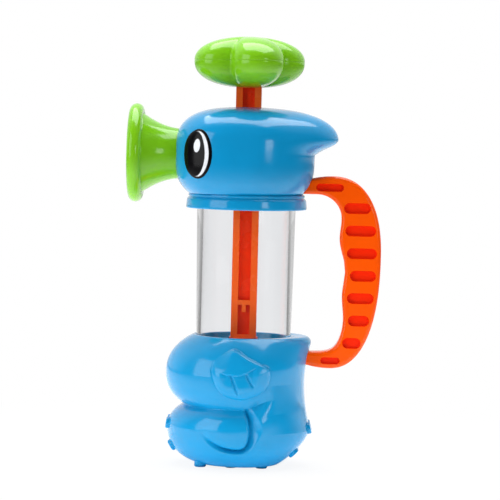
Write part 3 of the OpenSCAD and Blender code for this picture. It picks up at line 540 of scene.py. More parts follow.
def path_distance(x, z, path):
    """Distance, side and share along of the nearest point on a polyline, for arrays of points."""
    steps = np.diff(path, axis=0)
    lengths = np.hypot(*steps.T)
    starts = np.concatenate([[0], np.cumsum(lengths)])
    best = np.full(x.shape, 1e9)
    side = np.zeros(x.shape)
    share = np.zeros(x.shape)
    for p, d, start, length in zip(path, steps, starts, lengths):
        t = np.clip(((x - p[0]) * d[0] + (z - p[1]) * d[1]) / (d @ d), 0, 1)
        px = x - p[0] - t * d[0]
        pz = z - p[1] - t * d[1]
        dist = np.hypot(px, pz)
        near = dist < best
        best = np.where(near, dist, best)
        side = np.where(near, np.sign(d[0] * pz - d[1] * px), side)
        share = np.where(near, (start + t * length) / starts[-1], share)
    return best, side, share


def curve_through(points, steps=8, closed=False):
    """A smooth polyline through points (Catmull-Rom)."""
    p = np.asarray(points, float)
    if closed:
        p = np.concatenate([p[-1:], p, p[:2]])
    else:
        p = np.concatenate([[2 * p[0] - p[1]], p, [2 * p[-1] - p[-2]]])
    out = []
    for a, b, c, d in zip(p, p[1:], p[2:], p[3:]):
        for s in np.arange(steps) / steps:
            square = (2 * a - 5 * b + 4 * c - d) * s**2
            cube = (3 * b - a - 3 * c + d) * s**3
            out.append(0.5 * (2 * b + (c - a) * s + square + cube))
    out.append(p[-2])
    return np.array(out)


def fin_relief(x, z):
    """How far the fin stands out of the belly."""
    distance, way, along = path_distance(x, z, curve_through(FIN, closed=True))
    inside = -way * distance
    merge = bell(np.hypot(x - FIN_MERGE_X, z - FIN_MERGE_Z) / FIN_MERGE_R)
    along = (along + 0.5) % 1 - 0.5
    upper = rises(along, *CRISP_IN) * falls(along, *CRISP_OUT)
    round_in = FIN_DOME + (FIN_CRISP - FIN_DOME) * upper
    dome = 1 - (1 - np.clip(inside / round_in, 0, 1)) ** FIN_DOME_POWER
    outline = FIN_LINE * bell(inside / FIN_LINE_W) * (1 - merge)
    pad = FIN_PROUD * dome * (1 - FIN_MERGE_LOSS * merge) - outline
    line = smooth_table(x, LEAF_X, LEAF_Z)
    step = LEAF_STEP * (ease((z - line) / LEAF_EDGE + 0.5) - 1)
    window = rises(x, *LEAF_IN) * falls(x, *LEAF_OUT)
    leaf = step * window * rises(inside, *FIN_BORDER) * rises(z, *LEAF_FOOT)
    ribs = 0
    for rib in RIBS:
        d, _, s = path_distance(x, z, curve_through(rib))
        ribs = ribs - RIB_DEPTH * bell(d / RIB_WIDTH) * falls(s, *RIB_OUT)
    return pad + leaf + ribs * ease(inside / RIB_BORDER)


# Curled tail: a groove round its rounded end, with a steep inner wall and a wider ramp outside
CURL = [
    (-21.8, 22.4), (-17.0, 17.6), (-13.2, 14.8), (-8.6, 12.9), (-3.8, 12.1), (1.2, 12.4),
    (4.4, 14.8), (5.8, 19.6), (5.9, 25.5), (4.7, 30.3), (3.1, 34.0),
]
CURL_DEPTH = 4.4
CURL_GROWS = 0.4
CURL_LOSS = 0.4
CURL_LOSS_IN = (0.9, 0.1)
CURL_INSIDE = 2.4
CURL_RAMP = 1.8
CURL_RAMP_GROWS = 4.4
CURL_WIDEST = 0.8
CURL_SPREAD = 0.17
CURL_EDGE = 0.28
CURL_TOP = 1.0
CURL_TOP_FADES = 2.0
EXP_LIMIT = 30.0
TIP_BULGE = 1.0
TIP_X = -5.3
TIP_Z = 24.0
TIP_HALF_W = 13.0
TIP_HALF_H = 9.0
TIP_FADES = 4.0

# The crease between belly and tail climbs and fades towards the back of the side
CREASE_RISE = 6.0
CREASE_RISE_X = (1.0, 19.0)
RISE_LOW = (12.0, 14.0)
RISE_HIGH = (70.0, 22.0)
CREASE_FADE_X = (9.0, 12.0)
CREASE_FAINT = 1.1
SIDE_MEAN_R = 38.5
SIDE_IN = (0.25, 0.3)


def crease_rise(x):
    return CREASE_RISE * rises(x, *CREASE_RISE_X)


def curl_relief(x, z):
    """How far the tail's groove goes in and its tip stands out."""
    d, side, s = path_distance(x, z, curve_through(CURL))
    loss = CURL_LOSS * rises(s, *CURL_LOSS_IN)
    depth = CURL_DEPTH * rises(s, 0, CURL_GROWS) * (1 - loss)
    wall = np.sqrt(np.clip(1 - (1 - d / CURL_INSIDE) ** 2, 0, 1))
    wall = np.where(d < CURL_INSIDE, wall, 1)
    width = CURL_RAMP + CURL_RAMP_GROWS * bell((s - CURL_WIDEST) / CURL_SPREAD)
    within = np.clip((width - d) / CURL_EDGE, -EXP_LIMIT, EXP_LIMIT)
    ramp = 1 - CURL_EDGE / width * np.log1p(np.exp(within))
    under = falls(z, CREASE_H + crease_rise(x) + CURL_TOP, CURL_TOP_FADES)
    groove = -depth * (1 - np.where(side > 0, wall, ramp)) * under
    tip = TIP_BULGE * bell(np.hypot((x - TIP_X) / TIP_HALF_W, (z - TIP_Z) / TIP_HALF_H) ** 2)
    return groove + tip * falls(z, CREASE_H, TIP_FADES)


def body_r(angle, z):
    """Radius of the body with its fin and its curled tail."""
    x0 = SIDE_MEAN_R * cosd(angle)
    on_side = rises(-sind(angle), *SIDE_IN)
    climb = crease_rise(x0) * on_side * rises(z, *RISE_LOW) * falls(z, *RISE_HIGH)
    fade = rises(x0, *CREASE_FADE_X) * on_side
    side = side_profile(z - climb)
    smooth = np.maximum(side, BELLY_SIDE - CREASE_FAINT)
    level = (z > TAIL_MID) & (z < BELLY_MID)
    side = np.where(level, side + (smooth - side) * fade, side)
    r = oval(angle, front_profile(z), back_profile(z), side)
    x = r * cosd(angle)
    return r + (fin_relief(x, z) + curl_relief(x, z)) * on_side


# Columns and rows of the body's skin, finer where the fin and the tail's groove are
FINE_FROM = 232.0
FINE_TO = 308.0
FINE_COLUMNS = 236
PLAIN_COLUMNS = 44
RIM_TURN = 86.0
BELLY_TURN = 20.0
BELLY_ROWS = 52
ROW_GAP = 0.3
FINE_END_Z = 9.0
FINE_ROWS = 176
FOOT_TURN = 38.5
FOOT_ROWS = 34
BORE_FOOT_Z = 66.0
CAVITY_TOP_Z = 64.0
CAVITY_FLOOR = 4.0
CAVITY_ROWS = 24
CAVITY_FOOT = 0.62
RELIEF_ROOM = 3.0
RIM_EDGE = [(0.0, 0.6), (0.12, 0.22), (0.4, 0.0)]
RIM_DRAW = 0.35
INLET_ROLL = 0.4
INLET_WALL = 3.0


def body_loops():
    """The rim's bore, the body's skin, the inlet hole and the cavity, whose wall stays behind the relief."""
    front = np.linspace(SIDE_FROM, FINE_FROM - 1, PLAIN_COLUMNS)
    fine = np.linspace(FINE_FROM, FINE_TO, FINE_COLUMNS)
    back = np.linspace(FINE_TO + 1, SIDE_TO, PLAIN_COLUMNS)
    angles = seam_columns(np.concatenate([front, fine, back]))
    high = BELLY_MID + (BODY_H - BELLY_MID) * sind(np.linspace(RIM_TURN, BELLY_TURN, BELLY_ROWS))
    mid = np.linspace(high[-1] - ROW_GAP, FINE_END_Z, FINE_ROWS)
    low = TAIL_MID - (TAIL_MID - BASE_Z) * sind(np.linspace(FOOT_TURN, 90, FOOT_ROWS))
    z = np.concatenate([high, mid, low])[None, :]
    a = angles[:, None]
    r = body_r(a, np.broadcast_to(z, (len(angles), z.size)))
    skin = r - seam_dip(r * sind(a))
    top = body_r(a, np.full((len(angles), 1), BODY_H))
    cavity_z = np.linspace(CAVITY_TOP_Z, BASE_Z + CAVITY_FLOOR, CAVITY_ROWS)
    cavity_z = np.concatenate([[BORE_FOOT_Z], cavity_z])[None, ::-1]
    cavity = body_r(a, np.broadcast_to(np.maximum(cavity_z, TAIL_MID), (len(angles), cavity_z.size)))
    narrowing = quarter(1.0, CAVITY_FOOT, (TAIL_MID - cavity_z) / (TAIL_MID - BASE_Z), FOOT_POWER)
    hole = STRAINER_R + FIT
    stretches = [(RIM_BORE, BORE_FOOT_Z)]
    stretches += [(RIM_BORE + out, BODY_H - down) for out, down in RIM_EDGE]
    stretches += [
        (top - RIM_DRAW, BODY_H),
        (skin, z),
        (hole + INLET_ROLL, BASE_Z),
        (hole, BASE_Z + INLET_ROLL),
        (hole, BASE_Z + INLET_WALL),
        ((cavity - SHELL_WALL - RELIEF_ROOM) * narrowing, cavity_z),
    ]
    return shell_loops(angles, stretches)


# Studs along the tail's outer edge: feet below, and others on its slopes as (height, front or back).
# The rows of a stud are (in from its radius, height).
STUD_FEET = [-22, -5, 12]
STUD_SLOPES = [(10.6, -1), (23, -1), (8, 1), (22, 1)]
STUD_SIDES = 40
STUD_ROWS = [(0.1, -2.2), (0.0, BASE_Z / 2), (0.12, BASE_Z - 0.35), (0.5, BASE_Z)]


def slope_reach(z, way):
    """Where the tail's front or back is at a height, in the row of studs."""
    z = np.array(z)
    base = front_profile(z) if way < 0 else back_profile(z)
    return float(way * base * math.sqrt(1 - (SLOPE_ROW / float(side_profile(z))) ** 2))


def stud_places(side):
    upside_down = Matrix.Rotation(math.pi, 4, "Y")
    places = [Matrix.Translation((x, side * STUD_ROW, BASE_Z)) @ upside_down for x in STUD_FEET]
    for z, way in STUD_SLOPES:
        slope = math.atan(way * (slope_reach(z + 1, way) - slope_reach(z - 1, way)) / 2)
        tilt = Matrix.Rotation(way * (math.pi / 2 + slope), 4, "Y")
        places.append(Matrix.Translation((slope_reach(z, way), side * SLOPE_ROW, z)) @ tilt)
    return places


def body_studs(name, side):
    """The small round studs of one half, as one piece."""
    turn = full_turn(STUD_SIDES)
    disc = np.concatenate([circle_at(STUD_R - inset, turn, h) for inset, h in STUD_ROWS])
    points = []
    faces = []
    for place in stud_places(side):
        faces += capped(len(STUD_ROWS), STUD_SIDES, len(points))
        points += [tuple(place @ Vector(p)) for p in disc]
    return make_mesh(name, points, faces, sharp=35)


# Knob: its seam rows are (in from the plan, away from the seam)
LOBES = 4
LOBE_SPAN = 60.0
HOLLOW_SOFT = 1.5
CLOVER_MID = 25.0
KNOB_COLUMNS = 240
KNOB_ROWS = 46
KNOB_FIRST = 0.03
KNOB_LAST = 0.995
KNOB_SEAM = [(0.15, 0.0), (0.1, 0.1), (0.02, 0.26)]


def clover(angle):
    """Plan radius of the four lobes, with filleted hollows between them."""
    total = 0
    for k in range(LOBES):
        d = (angle - KNOB_TURN - 360 / LOBES * k + 180) % 360 - 180
        reach = np.clip(LOBE_R**2 - (LOBE_OFFSET * sind(d)) ** 2, 0.01, None)
        r = np.where(np.abs(d) < LOBE_SPAN, LOBE_OFFSET * cosd(d) + np.sqrt(reach), 0)
        total = total + np.exp((r - CLOVER_MID) / HOLLOW_SOFT)
    return CLOVER_MID + HOLLOW_SOFT * np.log(total)


def knob_half(name, height, power):
    """Half of the knob, closed at the seam, with a fine rolled edge there."""
    way = math.copysign(1, height)
    angles = full_turn(KNOB_COLUMNS)
    plan = clover(angles)
    rows = [circle_at(plan - inset, angles, SEAM_Z + way * up) for inset, up in KNOB_SEAM]
    for u in np.degrees(np.arcsin(np.linspace(KNOB_FIRST, KNOB_LAST, KNOB_ROWS))):
        r = plan * cosd(u) ** (2 / power)
        rows.append(circle_at(r, angles, SEAM_Z + height * sind(u) ** (2 / power)))
    points = np.concatenate(rows + [[[0, 0, SEAM_Z + height]]])
    faces = quads(len(rows), KNOB_COLUMNS)
    pole = len(points) - 1
    last = pole - KNOB_COLUMNS
    faces += [[last + i, last + (i + 1) % KNOB_COLUMNS, pole] for i in range(KNOB_COLUMNS)]
    faces.append(list(range(KNOB_COLUMNS)))
    return make_mesh(name, points, faces, sharp=60)


# Horn, collar and barrel
HORN_OUT_ROWS = 40
HORN_IN_ROWS = 36
LIP_ROWS = 60
LIP_FROM = 204.0
LIP_TO = -130.0
FLARE_LEAD = 3.0
OUTSIDE_LAP = 0.1
INSIDE_LAP = 0.6
INSIDE_END = 4.0
HORN_FLANGE = 2.0
THROAT_ROLL = 0.6
THROAT_LEAD = 1.2


def horn_flare(d):
    s = np.clip((d - FLARE_START) / (FLARE_END - FLARE_START), 0, 1)
    return HORN_NECK_R + (FLARE_R - HORN_NECK_R) * s**2


def horn_profile():
    """Flange in the head, flare, rolled lip, inside and throat, as (radius, reach)."""
    d_out = np.linspace(FLARE_START - FLARE_LEAD, FLARE_END + OUTSIDE_LAP, HORN_OUT_ROWS)
    outside = np.stack([horn_flare(d_out), d_out], -1)
    turns = np.linspace(LIP_FROM, LIP_TO, LIP_ROWS)
    lip_d = HORN_REACH - LIP_ROUND + LIP_ROUND * cosd(turns)
    lip = np.stack([LIP_CENTRE_R + LIP_ROUND * sind(turns), lip_d], -1)
    d_in = np.linspace(FLARE_END + INSIDE_LAP, FLARE_START + INSIDE_END, HORN_IN_ROWS)
    inside = np.stack([horn_flare(d_in) - HORN_WALL, d_in], -1)
    flange_r = HORN_ROOT_R + HORN_FLANGE
    flange_d = HORN_BACK + HORN_FLANGE
    start = [(HORN_BORE_R, HORN_BACK), (flange_r, HORN_BACK), (flange_r, flange_d), (HORN_NECK_R, flange_d)]
    throat = [(HORN_BORE_R + THROAT_ROLL, FLARE_START), (HORN_BORE_R, FLARE_START - THROAT_LEAD)]
    return np.concatenate([start, outside, lip, inside, throat])


CORNER_SHARE = 0.45


def rounded(points, radius, steps=5):
    """A closed profile with its corners rounded."""
    p = np.asarray(points, float)
    out = []
    for k in range(len(p)):
        a = p[k - 1]
        b = p[k]
        c = p[(k + 1) % len(p)]
        la = np.linalg.norm(a - b)
        lc = np.linalg.norm(c - b)
        r = min(radius, CORNER_SHARE * la, CORNER_SHARE * lc)
        start = b + (a - b) / la * r
        end = b + (c - b) / lc * r
        for t in np.linspace(0, 1, steps):
            out.append((1 - t) ** 2 * start + 2 * t * (1 - t) * b + t * t * end)
    return np.array(out)


# Collar: its band is (in from the rim, up from the foot), its top (out from the neck, down from its edge)
COLLAR_BAND = [(0.2, 0.0), (0.0, 1.2), (0.3, 5.2)]
COLLAR_TOP = [(1.0, 2.3), (0.4, 1.8), (0.9, 1.3), (0.9, 0.4), (0.2, 0.0)]
COLLAR_ROUND = 0.9
RIM_LIP_R = 0.95
RIM_LIP_DROP = 0.95
RIM_LIP_OUT = 0.05
RIM_LIP_SIDES = 20
BARREL_ROUND = 0.4


def collar_profile():
    neck_r = NECK_BORE + NECK_SIDE_LAND
    inner = barrel_r(NECK_Z) + LOOSE
    band = [(COLLAR_R - d, COLLAR_Z0 + h) for d, h in COLLAR_BAND]
    top = [(neck_r + d, NECK_Z - h) for d, h in COLLAR_TOP]
    return rounded([(inner, COLLAR_Z0)] + band + top + [(inner, NECK_Z)], COLLAR_ROUND)


def rim_lip_profile():
    """A fine rolled bead along the rim of the body."""
    turns = full_turn(RIM_LIP_SIDES)
    r = RIM_BORE + RIM_LIP_OUT + RIM_LIP_R * (1 + cosd(turns))
    return np.stack([r, BODY_H - RIM_LIP_DROP + RIM_LIP_R * sind(turns)], -1)


def barrel_profile():
    foot = [(BARREL_BORE_R, BARREL_Z0), (BARREL_R0, BARREL_Z0)]
    top = [(barrel_r(BARREL_Z1), BARREL_Z1), (BARREL_BORE_R, BARREL_Z1)]
    return rounded(foot + top, BARREL_ROUND)


# Handle: the edges of its loop are (start, reach, middle height, rise, drop, power)
OUTER_UP = ARM_TOP_Z + ARM_H / 2 + TOP_CROWN - GRIP_Z
OUTER_DOWN = GRIP_Z - ARM_LOW_Z + ARM_H / 2 + LOW_CROWN
OUTER = (BOW_X, HANDLE_REACH - BOW_X, GRIP_Z, OUTER_UP, OUTER_DOWN, OUTER_POWER)
INNER_DOWN = LOOP_HALF - ARM_H / 2
INNER_UP = INNER_DOWN - INNER_DROP
INNER = (LOOP_X, HANDLE_REACH - GRIP_DEPTH - LOOP_X, LOOP_Z, INNER_UP, INNER_DOWN, INNER_POWER)
EDGE_POINTS = 181


def loop_edge(edge, grow, count=EDGE_POINTS):
    """Points along one edge of the loop, from its foot round to its top."""
    start, reach, middle, up, down, power = edge
    t = 90 * np.sin(np.linspace(-math.pi / 2, math.pi / 2, count))
    x = start + (reach + grow) * np.abs(cosd(t)) ** (2 / power)
    z = middle + np.where(t < 0, -down - grow, up + grow) * np.abs(sind(t)) ** (2 / power)
    return np.stack([x, z], -1)


def grip_waved(p):
    """Leans points of the inner edge out at the foot and adds the finger waves, which fade downwards."""
    p = np.array(p)
    x = p[..., 0]
    z = p[..., 1]
    wave = GRIP_WAVE * ease((z - ARM_LOW_Z) / WAVE_RISE) * np.cos(2 * math.pi * (z - WAVE_Z) / WAVE_PITCH)
    lean = GRIP_LEAN * (LOOP_Z - z) / LOOP_HALF
    p[..., 0] = x + (lean - wave) * ease((x - LOOP_X) / WAVE_FADE)
    return p


HANDLE_ROUND = 2.2
FACE_LAND = 0.3
ARM_IN_HEAD = 28.0
ARM_IN_BODY = 32.0
ARM_STEPS = 20
ROUND_STEPS = 7

# Rings of a recess: (out from the face, growth) at its mouth and (up from the floor, growth) below
SLOT_MOUTH = [(1.0, 0.25), (-0.1, 0.2), (-0.5, 0.0)]
SLOT_FLOOR = [(0.2, -0.1), (0.0, -0.3)]
SLOT_STEPS = 20


def handle_section(inset):
    """Outer and inner edges of the handle, drawn in by a rounding, with stubs that run into the shells."""
    x = np.linspace(LOOP_X, BOW_X, ARM_STEPS, endpoint=False)
    bow = 1 - ((BOW_X - x) / (BOW_X - LOOP_X)) ** 2
    low = np.stack([x, ARM_LOW_Z - ARM_H / 2 - LOW_CROWN * bow + inset], -1)
    top = np.stack([x, ARM_TOP_Z + ARM_H / 2 + TOP_CROWN * bow - inset], -1)[::-1]
    outer = np.concatenate([low, loop_edge(OUTER, -inset), top])
    inner = grip_waved(loop_edge(INNER, inset, len(outer)))
    edges = []
    for p in (outer, inner):
        edges.append(np.concatenate([[[ARM_IN_BODY, p[0, 1]]], p, [[ARM_IN_HEAD, p[-1, 1]]]]))
    return edges


def handle_body(name):
    """The loop with rounded edges, as rings round its section."""
    half = HANDLE_T / 2
    edge = [(HANDLE_ROUND + FACE_LAND, half)]
    for t in np.linspace(0, 90, ROUND_STEPS):
        edge.append((HANDLE_ROUND * (1 - sind(t)), half - HANDLE_ROUND * (1 - cosd(t))))
    outer_ring = []
    inner_ring = []
    for inset, y in [(inset, -y) for inset, y in edge] + edge[::-1]:
        outer, inner = handle_section(inset)
        outer_ring.append(np.insert(outer, 1, y, axis=1))
        inner_ring.append(np.insert(inner, 1, y, axis=1))
    return loft(name, np.array(outer_ring + inner_ring[::-1]).transpose(1, 0, 2), sharp=40)


def edge_x(edge, z):
    """Where an edge of the loop is at a height."""
    start, reach, middle, up, down, power = edge
    half = down if z < middle else up
    return start + reach * max(0, 1 - (abs(z - middle) / half) ** power) ** (1 / power)


def slot_cutter(start, end, z, h, side):
    """A rounded slot that narrows slightly towards its floor."""
    half = HANDLE_T / 2
    levels = [(half + out, grow) for out, grow in SLOT_MOUTH]
    levels += [(half - RECESS_DEPTH + up, grow) for up, grow in SLOT_FLOOR]
    turn = np.linspace(90, 270, SLOT_STEPS)
    rings = []
    for y, grow in levels:
        r = h / 2 + grow
        left = np.stack([start + h / 2 + r * cosd(turn), z + r * sind(turn)], -1)
        right = np.stack([end - h / 2 - r * cosd(turn), z - r * sind(turn)], -1)
        rings.append(np.insert(np.concatenate([left, right]), 1, side * y, axis=1))
    return loft("cutter", rings, sharp=60)


def handle_slots():
    """Ends and height of each recess on a face of the handle."""
    slots = []
    for i in range(-RECESSES_EACH_WAY, RECESSES_EACH_WAY + 1):
        z = LOOP_Z - RECESS_DROP + i * RECESS_PITCH
        start = grip_waved([edge_x(INNER, z), z])[0] + RECESS_IN
        slots.append((start, edge_x(OUTER, z) - RECESS_OUT, z, RECESS_H))
    arm_end = LOOP_X + ARM_RECESS_END
    top_z = ARM_TOP_Z - ARM_RECESS_DROP
    low_z = ARM_LOW_Z - ARM_RECESS_DROP
    slots.append((LOOP_X + RECESS_IN, arm_end, top_z, RECESS_H * TOP_RECESS_SHARE))
    slots.append((LOOP_X + LOW_RECESS_IN, arm_end, low_z, RECESS_H * LOW_RECESS_SHARE))
    return slots


# Eyes
EYE_RINGS = np.concatenate([np.linspace(0.02, 0.9, 26), [0.94, 0.97, 0.99, 1.0]])[:, None]
EYE_SIDES = 96
EYE_EDGE = 0.12
EYE_DOME_POWER = 6
EYE_SINK = 0.4


def eye_disc(name, side):
    """A thin domed oval on the head's side, with its own flat coordinates as UVs."""
    turn = full_turn(EYE_SIDES)
    flat_x = EYE_RINGS * cosd(turn)
    flat_z = EYE_RINGS * sind(turn)
    a = 180 + EYE_ANGLE + math.degrees(EYE_HALF_W / HEAD_SIDE) * flat_x
    z = EQUATOR_Z - EYE_DROP + EYE_HALF_H * flat_z
    skin = head_r(a, head_u(z))
    dome = np.sqrt(np.maximum(0, 1 - EYE_RINGS**EYE_DOME_POWER))
    r = np.concatenate([skin + EYE_EDGE + (EYE_PROUD - EYE_EDGE) * dome, skin[-1:] - EYE_SINK])
    a, z, flat_x, flat_z = [np.concatenate([grid, grid[-1:]]) for grid in (a, z, flat_x, flat_z)]
    obj = loft(name, np.stack([r * cosd(a), -side * r * sind(a), z], -1), sharp=70)
    index = np.zeros(len(obj.data.loops), int)
    obj.data.loops.foreach_get("vertex_index", index)
    flat = np.stack([flat_x.ravel()[index], flat_z.ravel()[index]], -1)
    obj.data.uv_layers.new(name="flat").data.foreach_set("uv", (0.5 + 0.5 * flat).ravel())
    return obj


# Nodes of materials and of the world


def feed(tree, socket, value):
    """Links an output to a socket, or sets the socket to a plain value."""
    if hasattr(value, "links"):
        tree.links.new(value, socket)
    else:
        socket.default_value = value


def math_node(tree, operation, *values, kind="ShaderNodeMath"):
    n = tree.nodes.new(kind)
    n.operation = operation
    for socket, value in zip(n.inputs, values):
        feed(tree, socket, value)
    return n.outputs["Value"]


def vector_node(tree, operation, *values):
    return math_node(tree, operation, *values, kind="ShaderNodeVectorMath")


def y_of(tree, vector):
    n = tree.nodes.new("ShaderNodeSeparateXYZ")
    tree.links.new(vector, n.inputs["Vector"])
    return n.outputs["Y"]


def map_range(tree, value, low, high, from_low, from_high, smooth=False):
    """Maps a value from one range to another, straight or along an S curve."""
    n = tree.nodes.new("ShaderNodeMapRange")
    if smooth:
        n.interpolation_type = "SMOOTHSTEP"
    names = ("Value", "From Min", "From Max", "To Min", "To Max")
    for name, given in zip(names, (value, from_low, from_high, low, high)):
        feed(tree, n.inputs[name], given)
    return n.outputs["Result"]


def mix_shaders(tree, factor, a, b):
    n = tree.nodes.new("ShaderNodeMixShader")
    for socket, value in zip(n.inputs, (factor, a, b)):
        feed(tree, socket, value)
    return n.outputs[0]


# Materials


def linear(r, g, b):
    """Linear colour from display values of 0 to 255."""
    out = []
    for v in (r, g, b):
        v = v / 255
        out.append(v / 12.92 if v <= 0.04045 else ((v + 0.055) / 1.055) ** 2.4)
    return (*out, 1.0)


# Places of the colour sockets of a mix node
MIX_A = 6
MIX_B = 7
MIX_RESULT = 2


class Shade:
    """A material with a Principled shader and short calls for its nodes."""

    def __init__(self, name):
        self.mat = bpy.data.materials.new(name)
        self.mat.use_nodes = True
        self.tree = self.mat.node_tree
        self.bsdf = self.tree.nodes["Principled BSDF"]
        self.place = self.tree.nodes.new("ShaderNodeTexCoord").outputs["Object"]

    def give(self, name, value):
        """Sets an input of the shader to a value or an output."""
        feed(self.tree, self.bsdf.inputs[name], value)

    def noise(self, scale, detail, roughness=0.5):
        n = self.tree.nodes.new("ShaderNodeTexNoise")
        names = ("Vector", "Scale", "Detail", "Roughness")
        for name, value in zip(names, (self.place, scale, detail, roughness)):
            feed(self.tree, n.inputs[name], value)
        return n.outputs["Fac"]

    def remap(self, value, low, high, from_low=0.3, from_high=0.7):
        return map_range(self.tree, value, low, high, from_low, from_high)

    def mix(self, factor, a, b):
        n = self.tree.nodes.new("ShaderNodeMix")
        n.data_type = "RGBA"
        for socket, value in (("Factor", factor), (MIX_A, a), (MIX_B, b)):
            feed(self.tree, n.inputs[socket], value)
        return n.outputs[MIX_RESULT]

    def clouds(self, a, b, scale, detail, roughness=0.5):
        """Two near colours in soft clouds."""
        return self.mix(self.remap(self.noise(scale, detail, roughness), 0, 1), a, b)

    def surface(self, gloss, gloss_scale, grain_scale, grain, gloss_detail=2.0, grain_detail=1.0):
        """Uneven roughness between two values, and a fine grain with its height in metres."""
        self.give("Roughness", self.remap(self.noise(gloss_scale, gloss_detail), *gloss))
        n = self.tree.nodes.new("ShaderNodeBump")
        n.inputs["Strength"].default_value = 1.0
        n.inputs["Distance"].default_value = grain
        self.tree.links.new(self.noise(grain_scale, grain_detail), n.inputs["Height"])
        self.give("Normal", n.outputs["Normal"])


def tone(colour, factor):
    return (*[min(1.0, c * factor) for c in colour[:3]], 1.0)


def moulded(name, colour, rough=(0.09, 0.16), spread=0.04, shine=0.5):
    """Glossy moulded plastic: faint flow clouding, uneven gloss and a very fine orange peel."""
    s = Shade(name)
    dark = tone(colour, 1 - spread)
    pale = tone(colour, 1 + spread)
    s.give("Base Color", s.clouds(dark, pale, scale=38, detail=4.0, roughness=0.55))
    s.surface(rough, gloss_scale=90, grain_scale=700, grain=0.000006)
    s.give("IOR", 1.48)
    s.give("Specular IOR Level", shine)
    return s


blue_plastic = moulded("blue_plastic_look", linear(13, 145, 201))
green_plastic = moulded("green_plastic_look", linear(123, 193, 25))
orange_plastic = moulded("orange_plastic_look", linear(252, 86, 3), shine=0.3)
recess_plastic = moulded("recess_plastic_look", linear(246, 45, 8), rough=(0.14, 0.22), shine=0.15)
# Depths from the rod's middle plane over which its colour turns from the painted shade of the channel web to
# the orange of the flanges
FLANGE_FROM = 0.0046
FLANGE_TO = 0.0054


def rod_look():
    """Orange-red rod whose channel web is painted redder and darker than its outer flanges, as painted shade
    in the channel.
    """
    s = Shade("rod_look")
    depth = math_node(s.tree, "ABSOLUTE", y_of(s.tree, s.place))
    flange = s.remap(depth, 0, 1, FLANGE_FROM, FLANGE_TO)
    # Painted shade: the web between the flanges is painted redder and darker than the orange of the flange
    # faces
    web_painted_shade = s.clouds(linear(248, 54, 4), linear(254, 62, 8), scale=60, detail=3.0)
    face = s.clouds(linear(250, 94, 28), linear(255, 104, 36), scale=60, detail=3.0)
    s.give("Base Color", s.mix(flange, web_painted_shade, face))
    s.surface((0.2, 0.32), gloss_scale=120, grain_scale=600, grain=0.00001)
    s.give("Specular IOR Level", 0.3)
    return s


def clear_look():
    """Clear moulded barrel with faint draw lines."""
    s = Shade("clear_look")
    s.give("Base Color", (0.895, 0.9, 0.91, 1))
    s.give("Transmission Weight", 1.0)
    s.give("IOR", 1.2)
    s.surface((0.0, 0.03), gloss_scale=120, grain_scale=25, grain=0.00003)
    return s


def eye_look():
    """Printed eye: a black oval with a pale crescent and a glint, under gloss."""
    s = Shade("eye_look")
    uv = s.tree.nodes.new("ShaderNodeUVMap")
    uv.uv_map = "flat"

    def oval_mask(centre, half, turn=0, soft=0.02):
        m = s.tree.nodes.new("ShaderNodeMapping")
        m.vector_type = "TEXTURE"
        m.inputs["Location"].default_value = (*centre, 0)
        m.inputs["Rotation"].default_value = (0, 0, math.radians(turn))
        m.inputs["Scale"].default_value = (*half, 1)
        s.tree.links.new(uv.outputs["UV"], m.inputs["Vector"])
        length = vector_node(s.tree, "LENGTH", m.outputs["Vector"])
        return s.remap(length, 1, 0, 1 - soft, 1 + soft)

    outer = oval_mask(centre=(0.5, 0.5), half=(0.405, 0.455))
    inner = oval_mask(centre=(0.435, 0.5), half=(0.355, 0.455))
    glint = oval_mask(centre=(0.525, 0.665), half=(0.105, 0.135), turn=-12, soft=0.06)
    black = s.clouds(linear(6, 6, 8), linear(14, 13, 16), scale=160, detail=3.0)
    white = s.clouds(linear(226, 230, 236), linear(242, 244, 248), scale=200, detail=3.0)
    filled = s.mix(inner, s.mix(outer, black, white), black)
    s.give("Base Color", s.mix(glint, filled, white))
    s.surface((0.12, 0.2), gloss_scale=150, grain_scale=500, grain=0.000008)
    s.give("Specular IOR Level", 0.15)
    return s


def soft_rubber():
    s = Shade("rubber_look")
    s.give("Base Color", s.clouds(linear(36, 36, 39), linear(54, 54, 57), scale=150, detail=4.0))
    fine = {"gloss_detail": 3.0, "grain_detail": 2.0}
    s.surface((0.55, 0.75), gloss_scale=260, grain_scale=1800, grain=0.00003, **fine)
    return s


def plated_steel():
    s = Shade("steel_look")
    s.give("Metallic", 1.0)
    s.give("Base Color", s.clouds(linear(176, 177, 182), linear(206, 207, 211), scale=300, detail=4.0))
    s.surface((0.22, 0.4), gloss_scale=900, grain_scale=2600, grain=0.00001, grain_detail=2.0)
    return s


white_plastic = moulded("white_plastic_look", linear(226, 226, 222), rough=(0.35, 0.5), spread=0.03)
NODE_LOOKS = [
    (rod_look(), ["piston_rod"]),
    (white_plastic, ["piston_head", "foot_valve_seat", "foot_valve_stem"]),
    (blue_plastic, ["rod_guide", "intake_strainer"]),
    (soft_rubber(), ["piston_seal", "piston_flap", "upper_gasket", "lower_gasket", "foot_valve_flap"]),
    (plated_steel(), ["knob_screw", "piston_screw", "head_screws", "body_screws"]),
]
EDGE_SOFT = 0.00025
EDGE_SHARP = 40.0
for look, names in NODE_LOOKS:
    for name in names:
        node = nodes[name]
        node.data.materials.clear()
        node.data.materials.append(look.mat)
        bevel = node.modifiers.new("soft_edges", "BEVEL")
        bevel.width = EDGE_SOFT
        bevel.segments = 2
        bevel.limit_method = "ANGLE"
        bevel.angle_limit = math.radians(EDGE_SHARP)


def dress(obj, look, body, slot, *replaced):
    """Gives a piece its look and body, and hides the nodes that it stands for; the slot is not used."""
    if len(obj.data.materials) == 0:
        obj.data.materials.append(look.mat)
    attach(obj, body)
    if replaced:
        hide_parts(*replaced)


